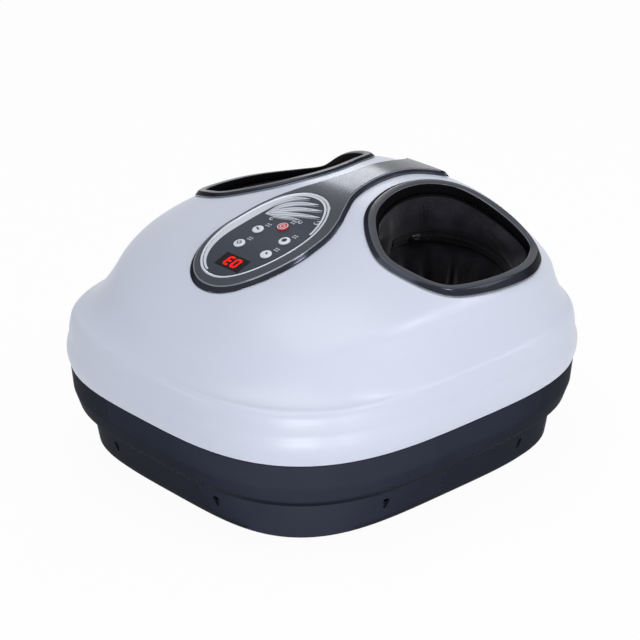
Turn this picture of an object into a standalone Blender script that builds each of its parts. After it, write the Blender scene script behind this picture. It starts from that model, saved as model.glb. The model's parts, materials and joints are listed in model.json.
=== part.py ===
"""Foot massager: a moulded dome with two foot openings over a stepped black base.

The front (toe side) faces -Y, the user's legs come in from above and behind (+Y),
+X is the right side, +Z is up and the rubber feet stand on z = 0. Lengths are in metres.
"""
import math

import bmesh
import bpy
from mathutils import Matrix, Vector
from mathutils.bvhtree import BVHTree

# Casing: plan outline, walls and gaps
WIDTH = 0.420
DEPTH = 0.456
PLAN_POWER = 3.16
FOOT_STAND = 0.0025
SHELL_WALL = 0.0030
BASE_WALL = 0.0028
SEAT_GAP = 0.0003
CUT_OVERRUN = 0.004
# Height of everything that lies on the shell's faceted dome
COVER_GAP = 0.0006
CASING_COLUMNS = 44

# Base tub: levels as shares of its height, insets from the plan outline
BASE_HEIGHT = 0.0885
BAND_LEVEL_SHARE = 0.7232
ROLL_LEVEL_SHARE = 0.5424
STEP_LEVEL_SHARE = 0.4407
BAND_INSET = 0.0018
ROLL_INSET = 0.0065
STEP_OUTER_INSET = 0.0160
STEP_INNER_INSET = 0.0185
BOTTOM_EDGE_INSET = 0.0290
BOTTOM_INSET = 0.0330
BOTTOM_EDGE_RISE = 0.0040
BOTTOM_POWER = 3.77
LIP_HEIGHT = 0.0045
LIP_WALL = 0.0016
LIP_CLEARANCE = 0.0004

# Top shell: bulged wall, rolled shoulder and hollow band, rises from its rim
JOINT_GROOVE = 0.0008
WALL_BULGE = 0.0027
SHOULDER_LOW_RISE = 0.0284
SHOULDER_ROLL_RISE = 0.0417
SHOULDER_ROLL_INSET = 0.0012
SHOULDER_RISE = 0.0504
SHOULDER_INSET = 0.0035
BAND_CURVE_POWER = 1.5
BAND_ROW_SHARES = (0.25, 0.5, 0.75)

# Domed pad inside the crease: insets from the plan outline, rises from the rim
PAD_SIDE_INSET = 0.0160
PAD_FRONT_INSET = 0.0338
PAD_REAR_INSET = 0.0046
PAD_CENTRE_Y = 0.0204
PAD_POWER = 2.34
CREASE_FRONT_RISE = 0.0757
CREASE_MIDDLE_RISE = 0.1090
CREASE_REAR_RISE = 0.0809
DOME_RISE = 0.1681
DOME_CROSS_POWER = 2.94
PAD_ROW_SHARES = (0.95, 0.87, 0.76, 0.62, 0.46, 0.26)
# Along the middle: share of the pad's length from its front, share of the dome's rise
DOME_LINE_SHARES = (
    (0.0, 0.0), (0.120, 0.395), (0.206, 0.561), (0.345, 0.735), (0.523, 0.956),
    (0.650, 1.0), (0.798, 0.881), (0.912, 0.45), (1.0, 0.056),
)

# Foot opening and its ring, right side; the left side is its mirror image.
# It fills the pad from the ridge to the side, and reaches shares of the pad's front and rear
RIDGE_HALF_WIDTH = 0.0380
RING_SIDE_MARGIN = 0.0030
OPENING_FRONT_SHARE = 0.2488
OPENING_REAR_SHARE = 0.6286
OPENING_OUTLINE_SHARES = (
    (0.998, -0.236), (0.870, -0.730), (0.476, -0.979), (-0.084, -1.020), (-0.727, -0.657),
    (-1.020, -0.140), (-0.995, 0.364), (-0.731, 0.745), (-0.125, 0.900), (0.438, 0.980),
    (0.752, 0.724), (0.948, 0.304),
)
RING_COLUMNS = 32
# The crest's rise over the dome, and what it gains at the side and at the rear
RING_RISE = 0.0044
RING_SIDE_GAIN = 0.0016
RING_REAR_GAIN = 0.0008
RING_EDGE_INSET = 0.0026
RING_EDGE_DROP = 0.0011
RING_CREST_INSET = 0.0044
RING_FLANGE_INSET = 0.0110
RING_FLANGE_RISE = 0.0022
THROAT_INSET = 0.0128
THROAT_TOP_DEPTH = 0.0012
THROAT_FOOT_INSET = 0.0146
THROAT_WALL = 0.0022
THROAT_DEPTH = 0.0075
SHELL_HOLE_INSET = 0.0055
THROAT_SHELL_CLEARANCE = 0.0013

# Fabric liner of each foot, with its zip on a tilted circle below the opening
LINER_WALL = 0.0012
LINER_COLUMNS = RING_COLUMNS
ZIP_INWARD = 0.0015
ZIP_REARWARD = 0.0005
ZIP_DROP = 0.0634
ZIP_TILT = math.radians(13)
ZIP_SIDE_ROOM = 0.0125
ZIP_BAND = 0.0085
ZIP_FRONT_REACH = 0.0260
ZIP_ROUND_SHARE = 0.36
# Its levels between the sole and the zip, and its reach along the half depth
BELLY_LEVEL_SHARE = 0.578
BELLY_RIDGE_ROOM = 0.0085
BELLY_SIDE_ROOM = 0.0255
BELLY_FRONT_SHARE = -0.4912
BELLY_REAR_SHARE = 0.5088
LOW_LEVEL_SHARE = 0.1875
LOW_SIDE_ROOM = 0.0270
LOW_FRONT_SHARE = -0.6075
LOW_REAR_SHARE = 0.4561
SOLE_RIDGE_ROOM = 0.0160
SOLE_SIDE_ROOM = 0.0340
SOLE_FRONT_SHARE = -0.5658
SOLE_REAR_SHARE = 0.4123
LINER_PLAN_POWER = 2.6
FOLD_DEPTH = 0.0032
FOLD_COUNT = 5

# Zip tape, slider and pull
TAPE_WIDTH = 0.0110
TAPE_WALL = 0.0005
TAPE_LINER_GAP = 0.0009
TAPE_START = math.radians(-12)
TAPE_END = math.radians(196)
TAPE_COLUMNS = 28
SLIDER_LENGTH = 0.0100
SLIDER_HEIGHT = 0.0068
SLIDER_WALL = 0.0024
SLIDER_TAPE_GAP = 0.0006
SLIDER_REST = math.radians(168)
BAIL_LENGTH = 0.0050
BAIL_WIDTH = 0.0016
BAIL_ARCH = 0.0009
BAIL_EYE = 0.0022
PULL_LENGTH = 0.0150
PULL_WIDTH = 0.0046
PULL_WALL = 0.0010

# Console on the ridge: raised trim, its places as shares of the pad's front and rear
TRIM_HEIGHT = 0.0050
TRIM_BEVEL = 0.0024
TRIM_HEAD_HALF = 0.0580
TRIM_HEAD_SHARE = 0.4306
TRIM_FRONT_SHARE = 0.8010
TRIM_REAR_SHARE = 0.5990
TRIM_HEAD_POWER = 2.2
# Behind the head: share of the way to the rear edge, share of the head's half width
TRIM_NECK_SHARES = (
    (0.0, 1.0), (0.13, 0.955), (0.235, 0.83), (0.325, 0.65), (0.42, 0.465), (0.525, 0.36),
    (0.64, 0.315), (0.80, 0.325), (0.92, 0.405), (1.0, 0.526),
)
TRIM_STATIONS = 24
TRIM_COLUMNS = 7

# Bezel, face and what sits in the face
BEZEL_X = -0.0040
BEZEL_REARWARD = 0.0015
BEZEL_SIDE_MARGIN = 0.0110
BEZEL_FRONT_MARGIN = 0.0115
BEZEL_POWER = 2.15
BEZEL_WIDTH = 0.0030
BEZEL_HEIGHT = 0.0052
CONSOLE_GAP = 0.0004
FACE_HEIGHT = 0.0044
FACE_COLUMNS = 36
FACE_ROW_SHARES = (1.0, 0.66, 0.33)
CONSOLE_HOLE_MARGIN = 0.0060
BUTTON_RADIUS = 0.0058
BUTTON_GAP = 0.0003
BUTTON_RISE = 0.0010
BUTTON_DOME = 0.0005
BUTTON_FLANGE = 0.0012
BUTTON_FLANGE_WALL = 0.0010
BUTTON_SIDES = 14
# Places on the face, as shares of the bezel's half width and half length
BUTTON_PLACE_SHARES = {
    "button_power": (0.1553, 0.2446),
    "button_heat": (-0.2489, 0.0288),
    "button_mode": (-0.2064, -0.3309),
    "button_intensity": (0.5809, 0.0144),
    "button_timer": (0.6021, -0.3309),
}
DISPLAY_PLACE_SHARES = (0.1553, -0.6619)
DISPLAY_WIDTH = 0.0330
DISPLAY_LENGTH = 0.0175
DISPLAY_WALL = 0.0015
MODULE_WIDTH = 0.0270
MODULE_LENGTH = 0.0120
MODULE_HEIGHT = 0.0060
BOARD_DROP = 0.0125
BOARD_WALL = 0.0016
BOARD_WIDTH = 0.0640
BOARD_LENGTH = 0.0980
BOARD_POST_RADIUS = 0.0028
BOARD_POST_SIDE_INSET = 0.0060
BOARD_POST_END_INSET = 0.0150

# Foot beds, each an upside-down tray that the rollers reach through.
# Places along are shares of the half depth
BED_FRONT_SHARE = -0.5614
BED_REAR_SHARE = 0.4912
BED_TOP_Z = 0.0600
BED_WALL = 0.0025
WING_SIDE_ROOM = 0.0195
CHEEK_TOP_Z = 0.1300
CHEEK_FRONT_SHARE = -0.3947
CHEEK_REAR_SHARE = 0.2632
SLOT_CLEARANCE = 0.0030
NOTCH_CLEARANCE = 0.0010

# Roller drive
SHAFT_Z = 0.0415
SHAFT_RADIUS = 0.0040
SHAFT_END_PROUD = 0.0015
REAR_SHAFT_SHARE = 0.2193
FRONT_SHAFT_SHARE = -0.2632
ROLLER_RADIUS = 0.0255
ROLLER_SIDE_ROOM = 0.0070
ROLLER_END_RADIUS = 0.0120
ROLLER_WAIST = 0.0045
ROLLER_LOBES = 3
ROLLER_SIDES = 12
RUN_GAP = 0.0003
BEARING_BED_GAP = 0.0035
BEARING_WIDTH = 0.0080
BEARING_HALF_DEPTH = 0.0110
BEARING_CROWN = 0.0085
WHEEL_RADIUS = 0.0200
WHEEL_WIDTH = 0.0100
WHEEL_TEETH = 18
TOOTH_DEPTH = 0.0022
WORM_RADIUS = 0.0058
WORM_CORE = 0.0038
WORM_TURNS = 4
WORM_SIDES = 8
MESH_DEPTH = 0.0012
MOTOR_RADIUS = 0.0190
MOTOR_LENGTH = 0.0620
MOTOR_STANDOFF = 0.0040
MOTOR_BOSS_RADIUS = 0.0075
MOTOR_SHAFT_RADIUS = 0.0025
PULLEY_RADIUS = 0.0120
PULLEY_WIDTH = 0.0090
PULLEY_GEARBOX_GAP = 0.0045
PULLEY_FLANGE = 0.0014
PULLEY_SIDES = 14
BELT_WALL = 0.0012
BELT_WIDTH = 0.0060
GEARBOX_HALF_WIDTH = 0.0255
GEARBOX_FRONT_ROOM = 0.0075
GEARBOX_REAR_ROOM = 0.0095
GEARBOX_WALL = 0.0025
GEARBOX_HEAD = 0.0140

# Air system, places along as shares of the half depth
BAG_WALL_GAP = 0.0003
BAG_THICKNESS = 0.0185
BAG_FRONT_SHARE = -0.3728
BAG_REAR_SHARE = 0.2412
BAG_BOTTOM_Z = 0.0680
BAG_TOP_Z = 0.1250
BAG_ROUNDING = 0.0060
PUMP_HALF_WIDTH = 0.0300
PUMP_FRONT_SHARE = -0.7456
PUMP_REAR_SHARE = -0.4737
PUMP_HEIGHT = 0.0420
PUMP_ROUNDING = 0.0050
NOZZLE_RADIUS = 0.0030
NOZZLE_LENGTH = 0.0070
HOSE_RADIUS = 0.0030
HOSE_POINTS = 18
# Places that the right hose passes between its two ends, the left one mirrors them:
# shares of the half width, of the half depth and of the bag's middle height
HOSE_ROUTE_SHARES = (
    (0.2619, -0.6842, 0.3938), (0.4524, -0.6930, 0.4974), (0.6190, -0.6579, 0.6839),
    (0.7619, -0.5482, 0.8601),
)

# Electrics, places as shares of the half width and the half depth
MAIN_BOARD_FRONT_SHARE = 0.5482
MAIN_BOARD_REAR_SHARE = 0.8114
MAIN_BOARD_LIFT = 0.0070
MAIN_BOARD_WALL = 0.0016
MAIN_BOARD_SUPPLY_GAP = 0.0110
STANDOFF_RADIUS = 0.0035
STANDOFF_INSET = 0.0060
# Blocks on the board: shares of its half width, of its depth and of the standoff inset
BOARD_BLOCK_SHARES = ((-0.6, 0.45, 0.9), (0.0, 0.6, 0.5), (0.55, 0.5, 0.7))
SUPPLY_SIDE_SHARE = -0.381
SUPPLY_WIDTH = 0.0480
SUPPLY_FRONT_SHARE = 0.5351
SUPPLY_REAR_SHARE = 0.7193
SUPPLY_HEIGHT = 0.0320
INLET_BAND_RISE = 0.0050
INLET_WIDTH = 0.0260
INLET_HEIGHT = 0.0180
INLET_LENGTH = 0.0200
INLET_RECESS_WIDTH = 0.0190
INLET_RECESS_HEIGHT = 0.0110
INLET_RECESS_DEPTH = 0.0140
INLET_SINK = 0.0010
PIN_RADIUS = 0.0012
PIN_SPREAD = 0.0043
PIN_LENGTH = 0.0090

# Fasteners, feet and details of the base, places as shares of the half width and half depth
PILLAR_FRONT_SHARES = (0.6667, -0.6798)
PILLAR_REAR_SHARES = (0.5952, 0.7368)
PILLAR_RADIUS = 0.0065
PILLAR_BORE = 0.0042
PILLAR_WEB = 0.0030
PILLAR_WEB_DROP = 0.0050
SCREW_HEAD_RADIUS = 0.0036
SCREW_HEAD_HEIGHT = 0.0024
SCREW_RADIUS = 0.0016
SCREW_LENGTH = 0.0190
SCREW_HOLE_GAP = 0.0004
PAD_FOOT_PLACE_SHARES = (0.5714, 0.5921)
PAD_FOOT_RADIUS = 0.0130
PAD_FOOT_SINK = 0.0012
PAD_FOOT_SIDES = 16
SLOT_RADIUS = 0.0040
SLOT_DEPTH = 0.0026
SLOT_LENGTH = 0.0130
SLOT_LEVEL_SHARE = 0.5897
SIDE_SLOT_SHARE = 0.3947
FRONT_SLOT_SHARE = 0.3571
VENT_COUNT = 5
VENT_WIDTH = 0.0030
VENT_LENGTH = 0.0260
VENT_PITCH = 0.0080
VENT_SHARE = -0.1228

# Levels worked out from the sizes above
BASE_BOTTOM_Z = FOOT_STAND
FLOOR_TOP_Z = BASE_BOTTOM_Z + BASE_WALL
STEP_Z = BASE_BOTTOM_Z + BASE_HEIGHT * STEP_LEVEL_SHARE
BASE_ROLL_Z = BASE_BOTTOM_Z + BASE_HEIGHT * ROLL_LEVEL_SHARE
BASE_BAND_Z = BASE_BOTTOM_Z + BASE_HEIGHT * BAND_LEVEL_SHARE
BASE_RIM_Z = BASE_BOTTOM_Z + BASE_HEIGHT
SHELL_RIM_Z = BASE_RIM_Z + JOINT_GROOVE
SHOULDER_LOW_Z = SHELL_RIM_Z + SHOULDER_LOW_RISE
SHOULDER_ROLL_Z = SHELL_RIM_Z + SHOULDER_ROLL_RISE
SHOULDER_Z = SHELL_RIM_Z + SHOULDER_RISE
CREASE_FRONT_Z = SHELL_RIM_Z + CREASE_FRONT_RISE
CREASE_MIDDLE_Z = SHELL_RIM_Z + CREASE_MIDDLE_RISE
CREASE_REAR_Z = SHELL_RIM_Z + CREASE_REAR_RISE
DOME_TOP_Z = SHELL_RIM_Z + DOME_RISE
WORM_Z = SHAFT_Z + WHEEL_RADIUS + WORM_RADIUS - MESH_DEPTH
SOLE_Z = SHAFT_Z + ROLLER_RADIUS + SEAT_GAP + LINER_WALL
ZIP_Z = DOME_TOP_Z - ZIP_DROP
BELLY_Z = SOLE_Z + (ZIP_Z - SOLE_Z) * BELLY_LEVEL_SHARE
LOW_Z = SOLE_Z + (ZIP_Z - SOLE_Z) * LOW_LEVEL_SHARE
BAG_MIDDLE_Z = (BAG_BOTTOM_Z + BAG_TOP_Z) / 2
INLET_Z = BASE_BAND_Z + INLET_BAND_RISE
SLOT_Z = BASE_BOTTOM_Z + BASE_HEIGHT * STEP_LEVEL_SHARE * SLOT_LEVEL_SHARE
PILLAR_WEB_TOP_Z = BASE_RIM_Z - PILLAR_WEB_DROP

# Places across, from the middle to the right
HALF_WIDTH = WIDTH / 2
PAD_HALF_WIDTH = HALF_WIDTH - PAD_SIDE_INSET
OPENING_OUTER_X = PAD_HALF_WIDTH - RING_SIDE_MARGIN
OPENING_X = (RIDGE_HALF_WIDTH + OPENING_OUTER_X) / 2
OPENING_HALF_WIDTH = OPENING_OUTER_X - OPENING_X
ZIP_X = OPENING_X - ZIP_INWARD
ZIP_RADIUS = OPENING_HALF_WIDTH - ZIP_SIDE_ROOM
BELLY_INNER_X = RIDGE_HALF_WIDTH + BELLY_RIDGE_ROOM
BELLY_OUTER_X = OPENING_OUTER_X - BELLY_SIDE_ROOM
LOW_INNER_X = BELLY_INNER_X
LOW_OUTER_X = OPENING_OUTER_X - LOW_SIDE_ROOM
SOLE_INNER_X = RIDGE_HALF_WIDTH + SOLE_RIDGE_ROOM
SOLE_OUTER_X = OPENING_OUTER_X - SOLE_SIDE_ROOM
BED_INNER_X = BELLY_INNER_X
BED_OUTER_X = LOW_OUTER_X - BED_WALL
LANE_X = (BED_INNER_X + BED_OUTER_X) / 2
ROLLER_HALF_LENGTH = BED_OUTER_X - LANE_X - BED_WALL - ROLLER_SIDE_ROOM
WING_OUTER_X = HALF_WIDTH - WING_SIDE_ROOM
BEARING_X = BED_OUTER_X + BEARING_BED_GAP + BEARING_WIDTH / 2
SHAFT_HALF_LENGTH = BEARING_X + BEARING_WIDTH / 2 + SHAFT_END_PROUD
PULLEY_X = GEARBOX_HALF_WIDTH + PULLEY_GEARBOX_GAP + PULLEY_WIDTH / 2
BEZEL_HALF_WIDTH = TRIM_HEAD_HALF - BEZEL_SIDE_MARGIN
SUPPLY_X = HALF_WIDTH * SUPPLY_SIDE_SHARE
INLET_X = SUPPLY_X
MAIN_BOARD_HALF_WIDTH = abs(SUPPLY_X) - SUPPLY_WIDTH / 2 - MAIN_BOARD_SUPPLY_GAP
PAD_FOOT_X = HALF_WIDTH * PAD_FOOT_PLACE_SHARES[0]
FRONT_SLOT_X = HALF_WIDTH * FRONT_SLOT_SHARE

# Places along, from the front to the rear
HALF_DEPTH = DEPTH / 2
PAD_FRONT = HALF_DEPTH + PAD_CENTRE_Y - PAD_FRONT_INSET
PAD_REAR = HALF_DEPTH - PAD_CENTRE_Y - PAD_REAR_INSET
OPENING_FRONT_Y = PAD_CENTRE_Y - PAD_FRONT * OPENING_FRONT_SHARE
OPENING_REAR_Y = PAD_CENTRE_Y + PAD_REAR * OPENING_REAR_SHARE
OPENING_Y = (OPENING_FRONT_Y + OPENING_REAR_Y) / 2
OPENING_HALF_DEPTH = OPENING_REAR_Y - OPENING_Y
ZIP_Y = OPENING_Y + ZIP_REARWARD
BELLY_FRONT_Y = HALF_DEPTH * BELLY_FRONT_SHARE
BELLY_REAR_Y = HALF_DEPTH * BELLY_REAR_SHARE
LOW_FRONT_Y = HALF_DEPTH * LOW_FRONT_SHARE
LOW_REAR_Y = HALF_DEPTH * LOW_REAR_SHARE
SOLE_FRONT_Y = HALF_DEPTH * SOLE_FRONT_SHARE
SOLE_REAR_Y = HALF_DEPTH * SOLE_REAR_SHARE
TRIM_HEAD_Y = PAD_CENTRE_Y - PAD_FRONT * TRIM_HEAD_SHARE
TRIM_FRONT_Y = PAD_CENTRE_Y - PAD_FRONT * TRIM_FRONT_SHARE
TRIM_REAR_Y = PAD_CENTRE_Y + PAD_REAR * TRIM_REAR_SHARE
BEZEL_Y = TRIM_HEAD_Y + BEZEL_REARWARD
BEZEL_HALF_LENGTH = BEZEL_Y - TRIM_FRONT_Y - BEZEL_FRONT_MARGIN
BED_FRONT_Y = HALF_DEPTH * BED_FRONT_SHARE
BED_REAR_Y = HALF_DEPTH * BED_REAR_SHARE
CHEEK_FRONT_Y = HALF_DEPTH * CHEEK_FRONT_SHARE
CHEEK_REAR_Y = HALF_DEPTH * CHEEK_REAR_SHARE
FRONT_SHAFT_Y = HALF_DEPTH * FRONT_SHAFT_SHARE
REAR_SHAFT_Y = HALF_DEPTH * REAR_SHAFT_SHARE
GEARBOX_FRONT_Y = REAR_SHAFT_Y - WHEEL_RADIUS - GEARBOX_WALL - GEARBOX_FRONT_ROOM
GEARBOX_REAR_Y = REAR_SHAFT_Y + WHEEL_RADIUS + GEARBOX_WALL + GEARBOX_REAR_ROOM
MOTOR_FRONT_Y = GEARBOX_REAR_Y + MOTOR_STANDOFF
BAG_FRONT_Y = HALF_DEPTH * BAG_FRONT_SHARE
BAG_REAR_Y = HALF_DEPTH * BAG_REAR_SHARE
PUMP_FRONT_Y = HALF_DEPTH * PUMP_FRONT_SHARE
PUMP_REAR_Y = HALF_DEPTH * PUMP_REAR_SHARE
MAIN_BOARD_FRONT_Y = HALF_DEPTH * MAIN_BOARD_FRONT_SHARE
MAIN_BOARD_REAR_Y = HALF_DEPTH * MAIN_BOARD_REAR_SHARE
SUPPLY_FRONT_Y = HALF_DEPTH * SUPPLY_FRONT_SHARE
SUPPLY_REAR_Y = HALF_DEPTH * SUPPLY_REAR_SHARE
PAD_FOOT_Y = HALF_DEPTH * PAD_FOOT_PLACE_SHARES[1]
SIDE_SLOT_Y = HALF_DEPTH * SIDE_SLOT_SHARE
VENT_Y = HALF_DEPTH * VENT_SHARE

# Places on the face
BUTTON_PLACES = {
    name: (BEZEL_X + across * BEZEL_HALF_WIDTH, BEZEL_Y + along * BEZEL_HALF_LENGTH)
    for name, (across, along) in BUTTON_PLACE_SHARES.items()
}
DISPLAY_X = BEZEL_X + DISPLAY_PLACE_SHARES[0] * BEZEL_HALF_WIDTH
DISPLAY_Y = BEZEL_Y + DISPLAY_PLACE_SHARES[1] * BEZEL_HALF_LENGTH

ZIP_CENTRE = Vector((ZIP_X, ZIP_Y, ZIP_Z))
ZIP_AXIS = Vector((math.sin(ZIP_TILT), 0, math.cos(ZIP_TILT)))
TAU = 2 * math.pi


# Scene, materials and small helpers

def clear_scene():
    for item in list(bpy.data.objects):
        bpy.data.objects.remove(item, do_unlink=True)


def new_collection(name):
    group = bpy.data.collections.new(name)
    bpy.context.scene.collection.children.link(group)
    return group


def material(name, colour, roughness, metallic=0.0):
    made = bpy.data.materials.get(name) or bpy.data.materials.new(name)
    made.use_nodes = True
    shader = made.node_tree.nodes["Principled BSDF"]
    shader.inputs["Base Color"].default_value = (*colour, 1)
    shader.inputs["Roughness"].default_value = roughness
    shader.inputs["Metallic"].default_value = metallic
    made.diffuse_color = (*colour, 1)
    return made


def white_gloss():
    return material("white_gloss", (0.72, 0.75, 0.84), 0.22)


def black_gloss():
    return material("black_gloss", (0.016, 0.018, 0.024), 0.35)


def gunmetal():
    return material("gunmetal", (0.16, 0.17, 0.19), 0.28, 0.9)


def slate():
    return material("slate", (0.06, 0.07, 0.09), 0.3)


def dark_fabric():
    return material("dark_fabric", (0.012, 0.012, 0.015), 0.95)


def grey_plastic():
    return material("grey_plastic", (0.20, 0.21, 0.23), 0.5)


def steel():
    return material("steel", (0.5, 0.5, 0.52), 0.3, 1.0)


def black_rubber():
    return material("black_rubber", (0.02, 0.02, 0.02), 0.8)


def board_green():
    return material("board_green", (0.02, 0.14, 0.06), 0.5)


def add_object(name, mesh, finish, group=None):
    made = bpy.data.objects.new(name, mesh)
    (group or PARTS).objects.link(made)
    mesh.materials.append(finish)
    return made


def shade(item, angle=math.radians(35)):
    item.data.shade_smooth()
    item.data.set_sharp_from_angle(angle=angle)
    return item


def mesh_from(name, work):
    mesh = bpy.data.meshes.new(name)
    work.to_mesh(mesh)
    work.free()
    return mesh


def skin(name, rows, first_point=None, last_point=None, loop_rows=False, flat_ends=False,
         flip=False):
    """Faces through closed rows of points, with a fan to a point or a flat face at either end."""
    work = bmesh.new()
    rings = [[work.verts.new(point) for point in row] for row in rows]
    pairs = list(zip(rings, rings[1:]))
    if loop_rows:
        pairs.append((rings[-1], rings[0]))
    for lower, upper in pairs:
        for index, corner in enumerate(lower):
            after = (index + 1) % len(lower)
            work.faces.new((corner, lower[after], upper[after], upper[index]))
    for point, ring, reverse in ((first_point, rings[0], True), (last_point, rings[-1], False)):
        if point is None:
            continue
        tip = work.verts.new(point)
        for index, corner in enumerate(ring):
            after = ring[(index + 1) % len(ring)]
            work.faces.new((after, corner, tip) if reverse else (corner, after, tip))
    if flat_ends:
        work.faces.new(list(reversed(rings[0])))
        work.faces.new(rings[-1])
    closed = loop_rows or flat_ends or (first_point is not None and last_point is not None)
    if closed:
        bmesh.ops.recalc_face_normals(work, faces=work.faces)
    elif flip:
        bmesh.ops.reverse_faces(work, faces=work.faces)
    return mesh_from(name, work)


def box_mesh(name, low, high):
    work = bmesh.new()
    bmesh.ops.create_cube(work, size=1)
    size = [top - bottom for bottom, top in zip(low, high)]
    middle = [(top + bottom) / 2 for bottom, top in zip(low, high)]
    bmesh.ops.scale(work, vec=size, verts=work.verts)
    bmesh.ops.translate(work, vec=middle, verts=work.verts)
    return mesh_from(name, work)


def rod_mesh(name, radius, start, end, sides=24, end_radius=None):
    """A cylinder or cone between two points."""
    start = Vector(start)
    end = Vector(end)
    work = bmesh.new()
    axis = end - start
    bmesh.ops.create_cone(
        work, cap_ends=True, segments=sides, radius1=radius,
        radius2=radius if end_radius is None else end_radius, depth=axis.length,
    )
    turn = axis.to_track_quat("Z", "Y").to_matrix().to_4x4()
    work.transform(Matrix.Translation((start + end) / 2) @ turn)
    return mesh_from(name, work)


def as_cutter(name, mesh):
    tool = bpy.data.objects.new(name, mesh)
    CUTTERS.objects.link(tool)
    tool.hide_render = True
    tool.display_type = "WIRE"
    return tool


def combine(target, tool, operation):
    step = target.modifiers.new(tool.name, "BOOLEAN")
    step.operation = operation
    step.object = tool
    step.solver = "EXACT"
    return target


def cut(target, name, mesh):
    return combine(target, as_cutter(name, mesh), "DIFFERENCE")


def join(target, name, mesh):
    return combine(target, as_cutter(name, mesh), "UNION")


def bevel(item, width, segments=2):
    step = item.modifiers.new("rounded_edges", "BEVEL")
    step.width = width
    step.segments = segments
    step.limit_method = "ANGLE"
    return item


def solidify(item, thickness):
    step = item.modifiers.new("wall", "SOLIDIFY")
    step.thickness = thickness
    step.offset = -1
    step.use_even_offset = True
    return item


def move_origin(item, origin):
    """Put the object's origin on its joint axis, with the mesh left in place."""
    origin = Vector(origin)
    item.data.transform(Matrix.Translation(-origin))
    item.location = origin
    return item


# Curves

def oval_radius(angle, half_x, half_y, power):
    across = abs(math.cos(angle) / half_x) ** power
    along = abs(math.sin(angle) / half_y) ** power
    return (across + along) ** (-1 / power)


def oval_point(angle, half_x, half_y, power, centre_x=0, centre_y=0):
    radius = oval_radius(angle, half_x, half_y, power)
    return centre_x + radius * math.cos(angle), centre_y + radius * math.sin(angle)


def smooth_value(table, place):
    """Monotone cubic through a table of (place, value) pairs."""
    if place <= table[0][0]:
        return table[0][1]
    if place >= table[-1][0]:
        return table[-1][1]
    spans = [b[0] - a[0] for a, b in zip(table, table[1:])]
    slopes = [(b[1] - a[1]) / span for a, b, span in zip(table, table[1:], spans)]
    turns = [slopes[0]]
    for before, after in zip(slopes, slopes[1:]):
        steady = before * after > 0
        turns.append(2 * before * after / (before + after) if steady else 0)
    turns.append(slopes[-1])
    index = max(i for i, pair in enumerate(table[:-1]) if pair[0] <= place)
    span = spans[index]
    t = (place - table[index][0]) / span
    start = table[index][1] * (1 + 2 * t) + turns[index] * span * t
    finish = table[index + 1][1] * (3 - 2 * t) - turns[index + 1] * span * (1 - t)
    return start * (1 - t) ** 2 + finish * t ** 2


def closed_curve_point(points, share):
    """Point on a smooth closed curve through the given points, share 0 to 1."""
    count = len(points)
    place = (share % 1) * count
    index = int(place)
    t = place - index
    p0, p1, p2, p3 = (points[(index + step) % count] for step in (-1, 0, 1, 2))
    return tuple(
        ((2 * b) + (c - a) * t + (2 * a - 5 * b + 4 * c - d) * t ** 2
         + (3 * b - a - 3 * c + d) * t ** 3) / 2
        for a, b, c, d in zip(p0, p1, p2, p3)
    )


def angles(count, start=0.0, turn=TAU):
    return [start + turn * index / count for index in range(count)]


# The dome's surface

def pad_half_width(y):
    reach = PAD_FRONT if y < PAD_CENTRE_Y else PAD_REAR
    share = min(abs(y - PAD_CENTRE_Y) / reach, 1)
    return PAD_HALF_WIDTH * (1 - share ** PAD_POWER) ** (1 / PAD_POWER)


def crease_z(y):
    front = y < PAD_CENTRE_Y
    reach = PAD_FRONT if front else PAD_REAR
    end = CREASE_FRONT_Z if front else CREASE_REAR_Z
    share = min(abs(y - PAD_CENTRE_Y) / reach, 1)
    return CREASE_MIDDLE_Z - (CREASE_MIDDLE_Z - end) * share ** 2


def ridge_z(y):
    share = (y - PAD_CENTRE_Y + PAD_FRONT) / (PAD_FRONT + PAD_REAR)
    return CREASE_FRONT_Z + (DOME_TOP_Z - CREASE_FRONT_Z) * smooth_value(DOME_LINE_SHARES, share)


def pad_z(x, y):
    """Height of the dome's outer surface at a place inside the crease."""
    half = pad_half_width(y)
    across = min(abs(x) / half, 1) if half > SEAT_GAP else 0
    edge = crease_z(y)
    return edge + (ridge_z(y) - edge) * (1 - across ** DOME_CROSS_POWER)


def on_pad(x, y, rise):
    return Vector((x, y, pad_z(x, y) + rise))


def pad_normal(x, y):
    step = SHELL_WALL
    slope_x = (pad_z(x + step, y) - pad_z(x - step, y)) / (2 * step)
    slope_y = (pad_z(x, y + step) - pad_z(x, y - step)) / (2 * step)
    return Vector((-slope_x, -slope_y, 1)).normalized()


# Casing

def casing_row(inset, z, power=PLAN_POWER):
    places = angles(CASING_COLUMNS)
    return [
        (*oval_point(angle, HALF_WIDTH - inset, HALF_DEPTH - inset, power), z)
        for angle in places
    ]


def crease_row(share):
    """The crease curve drawn in towards the middle of the pad."""
    row = []
    for angle in angles(CASING_COLUMNS):
        reach = PAD_REAR if math.sin(angle) > 0 else PAD_FRONT
        radius = oval_radius(angle, PAD_HALF_WIDTH, reach, PAD_POWER) * share
        x = radius * math.cos(angle)
        y = PAD_CENTRE_Y + radius * math.sin(angle)
        row.append((x, y, crease_z(y) if share == 1 else pad_z(x, y)))
    return row


def blend_rows(outer, inner, share, power):
    row = []
    for start, end in zip(outer, inner):
        x = start[0] + (end[0] - start[0]) * share
        y = start[1] + (end[1] - start[1]) * share
        z = start[2] + (end[2] - start[2]) * share ** power
        row.append((x, y, z))
    return row


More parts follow.
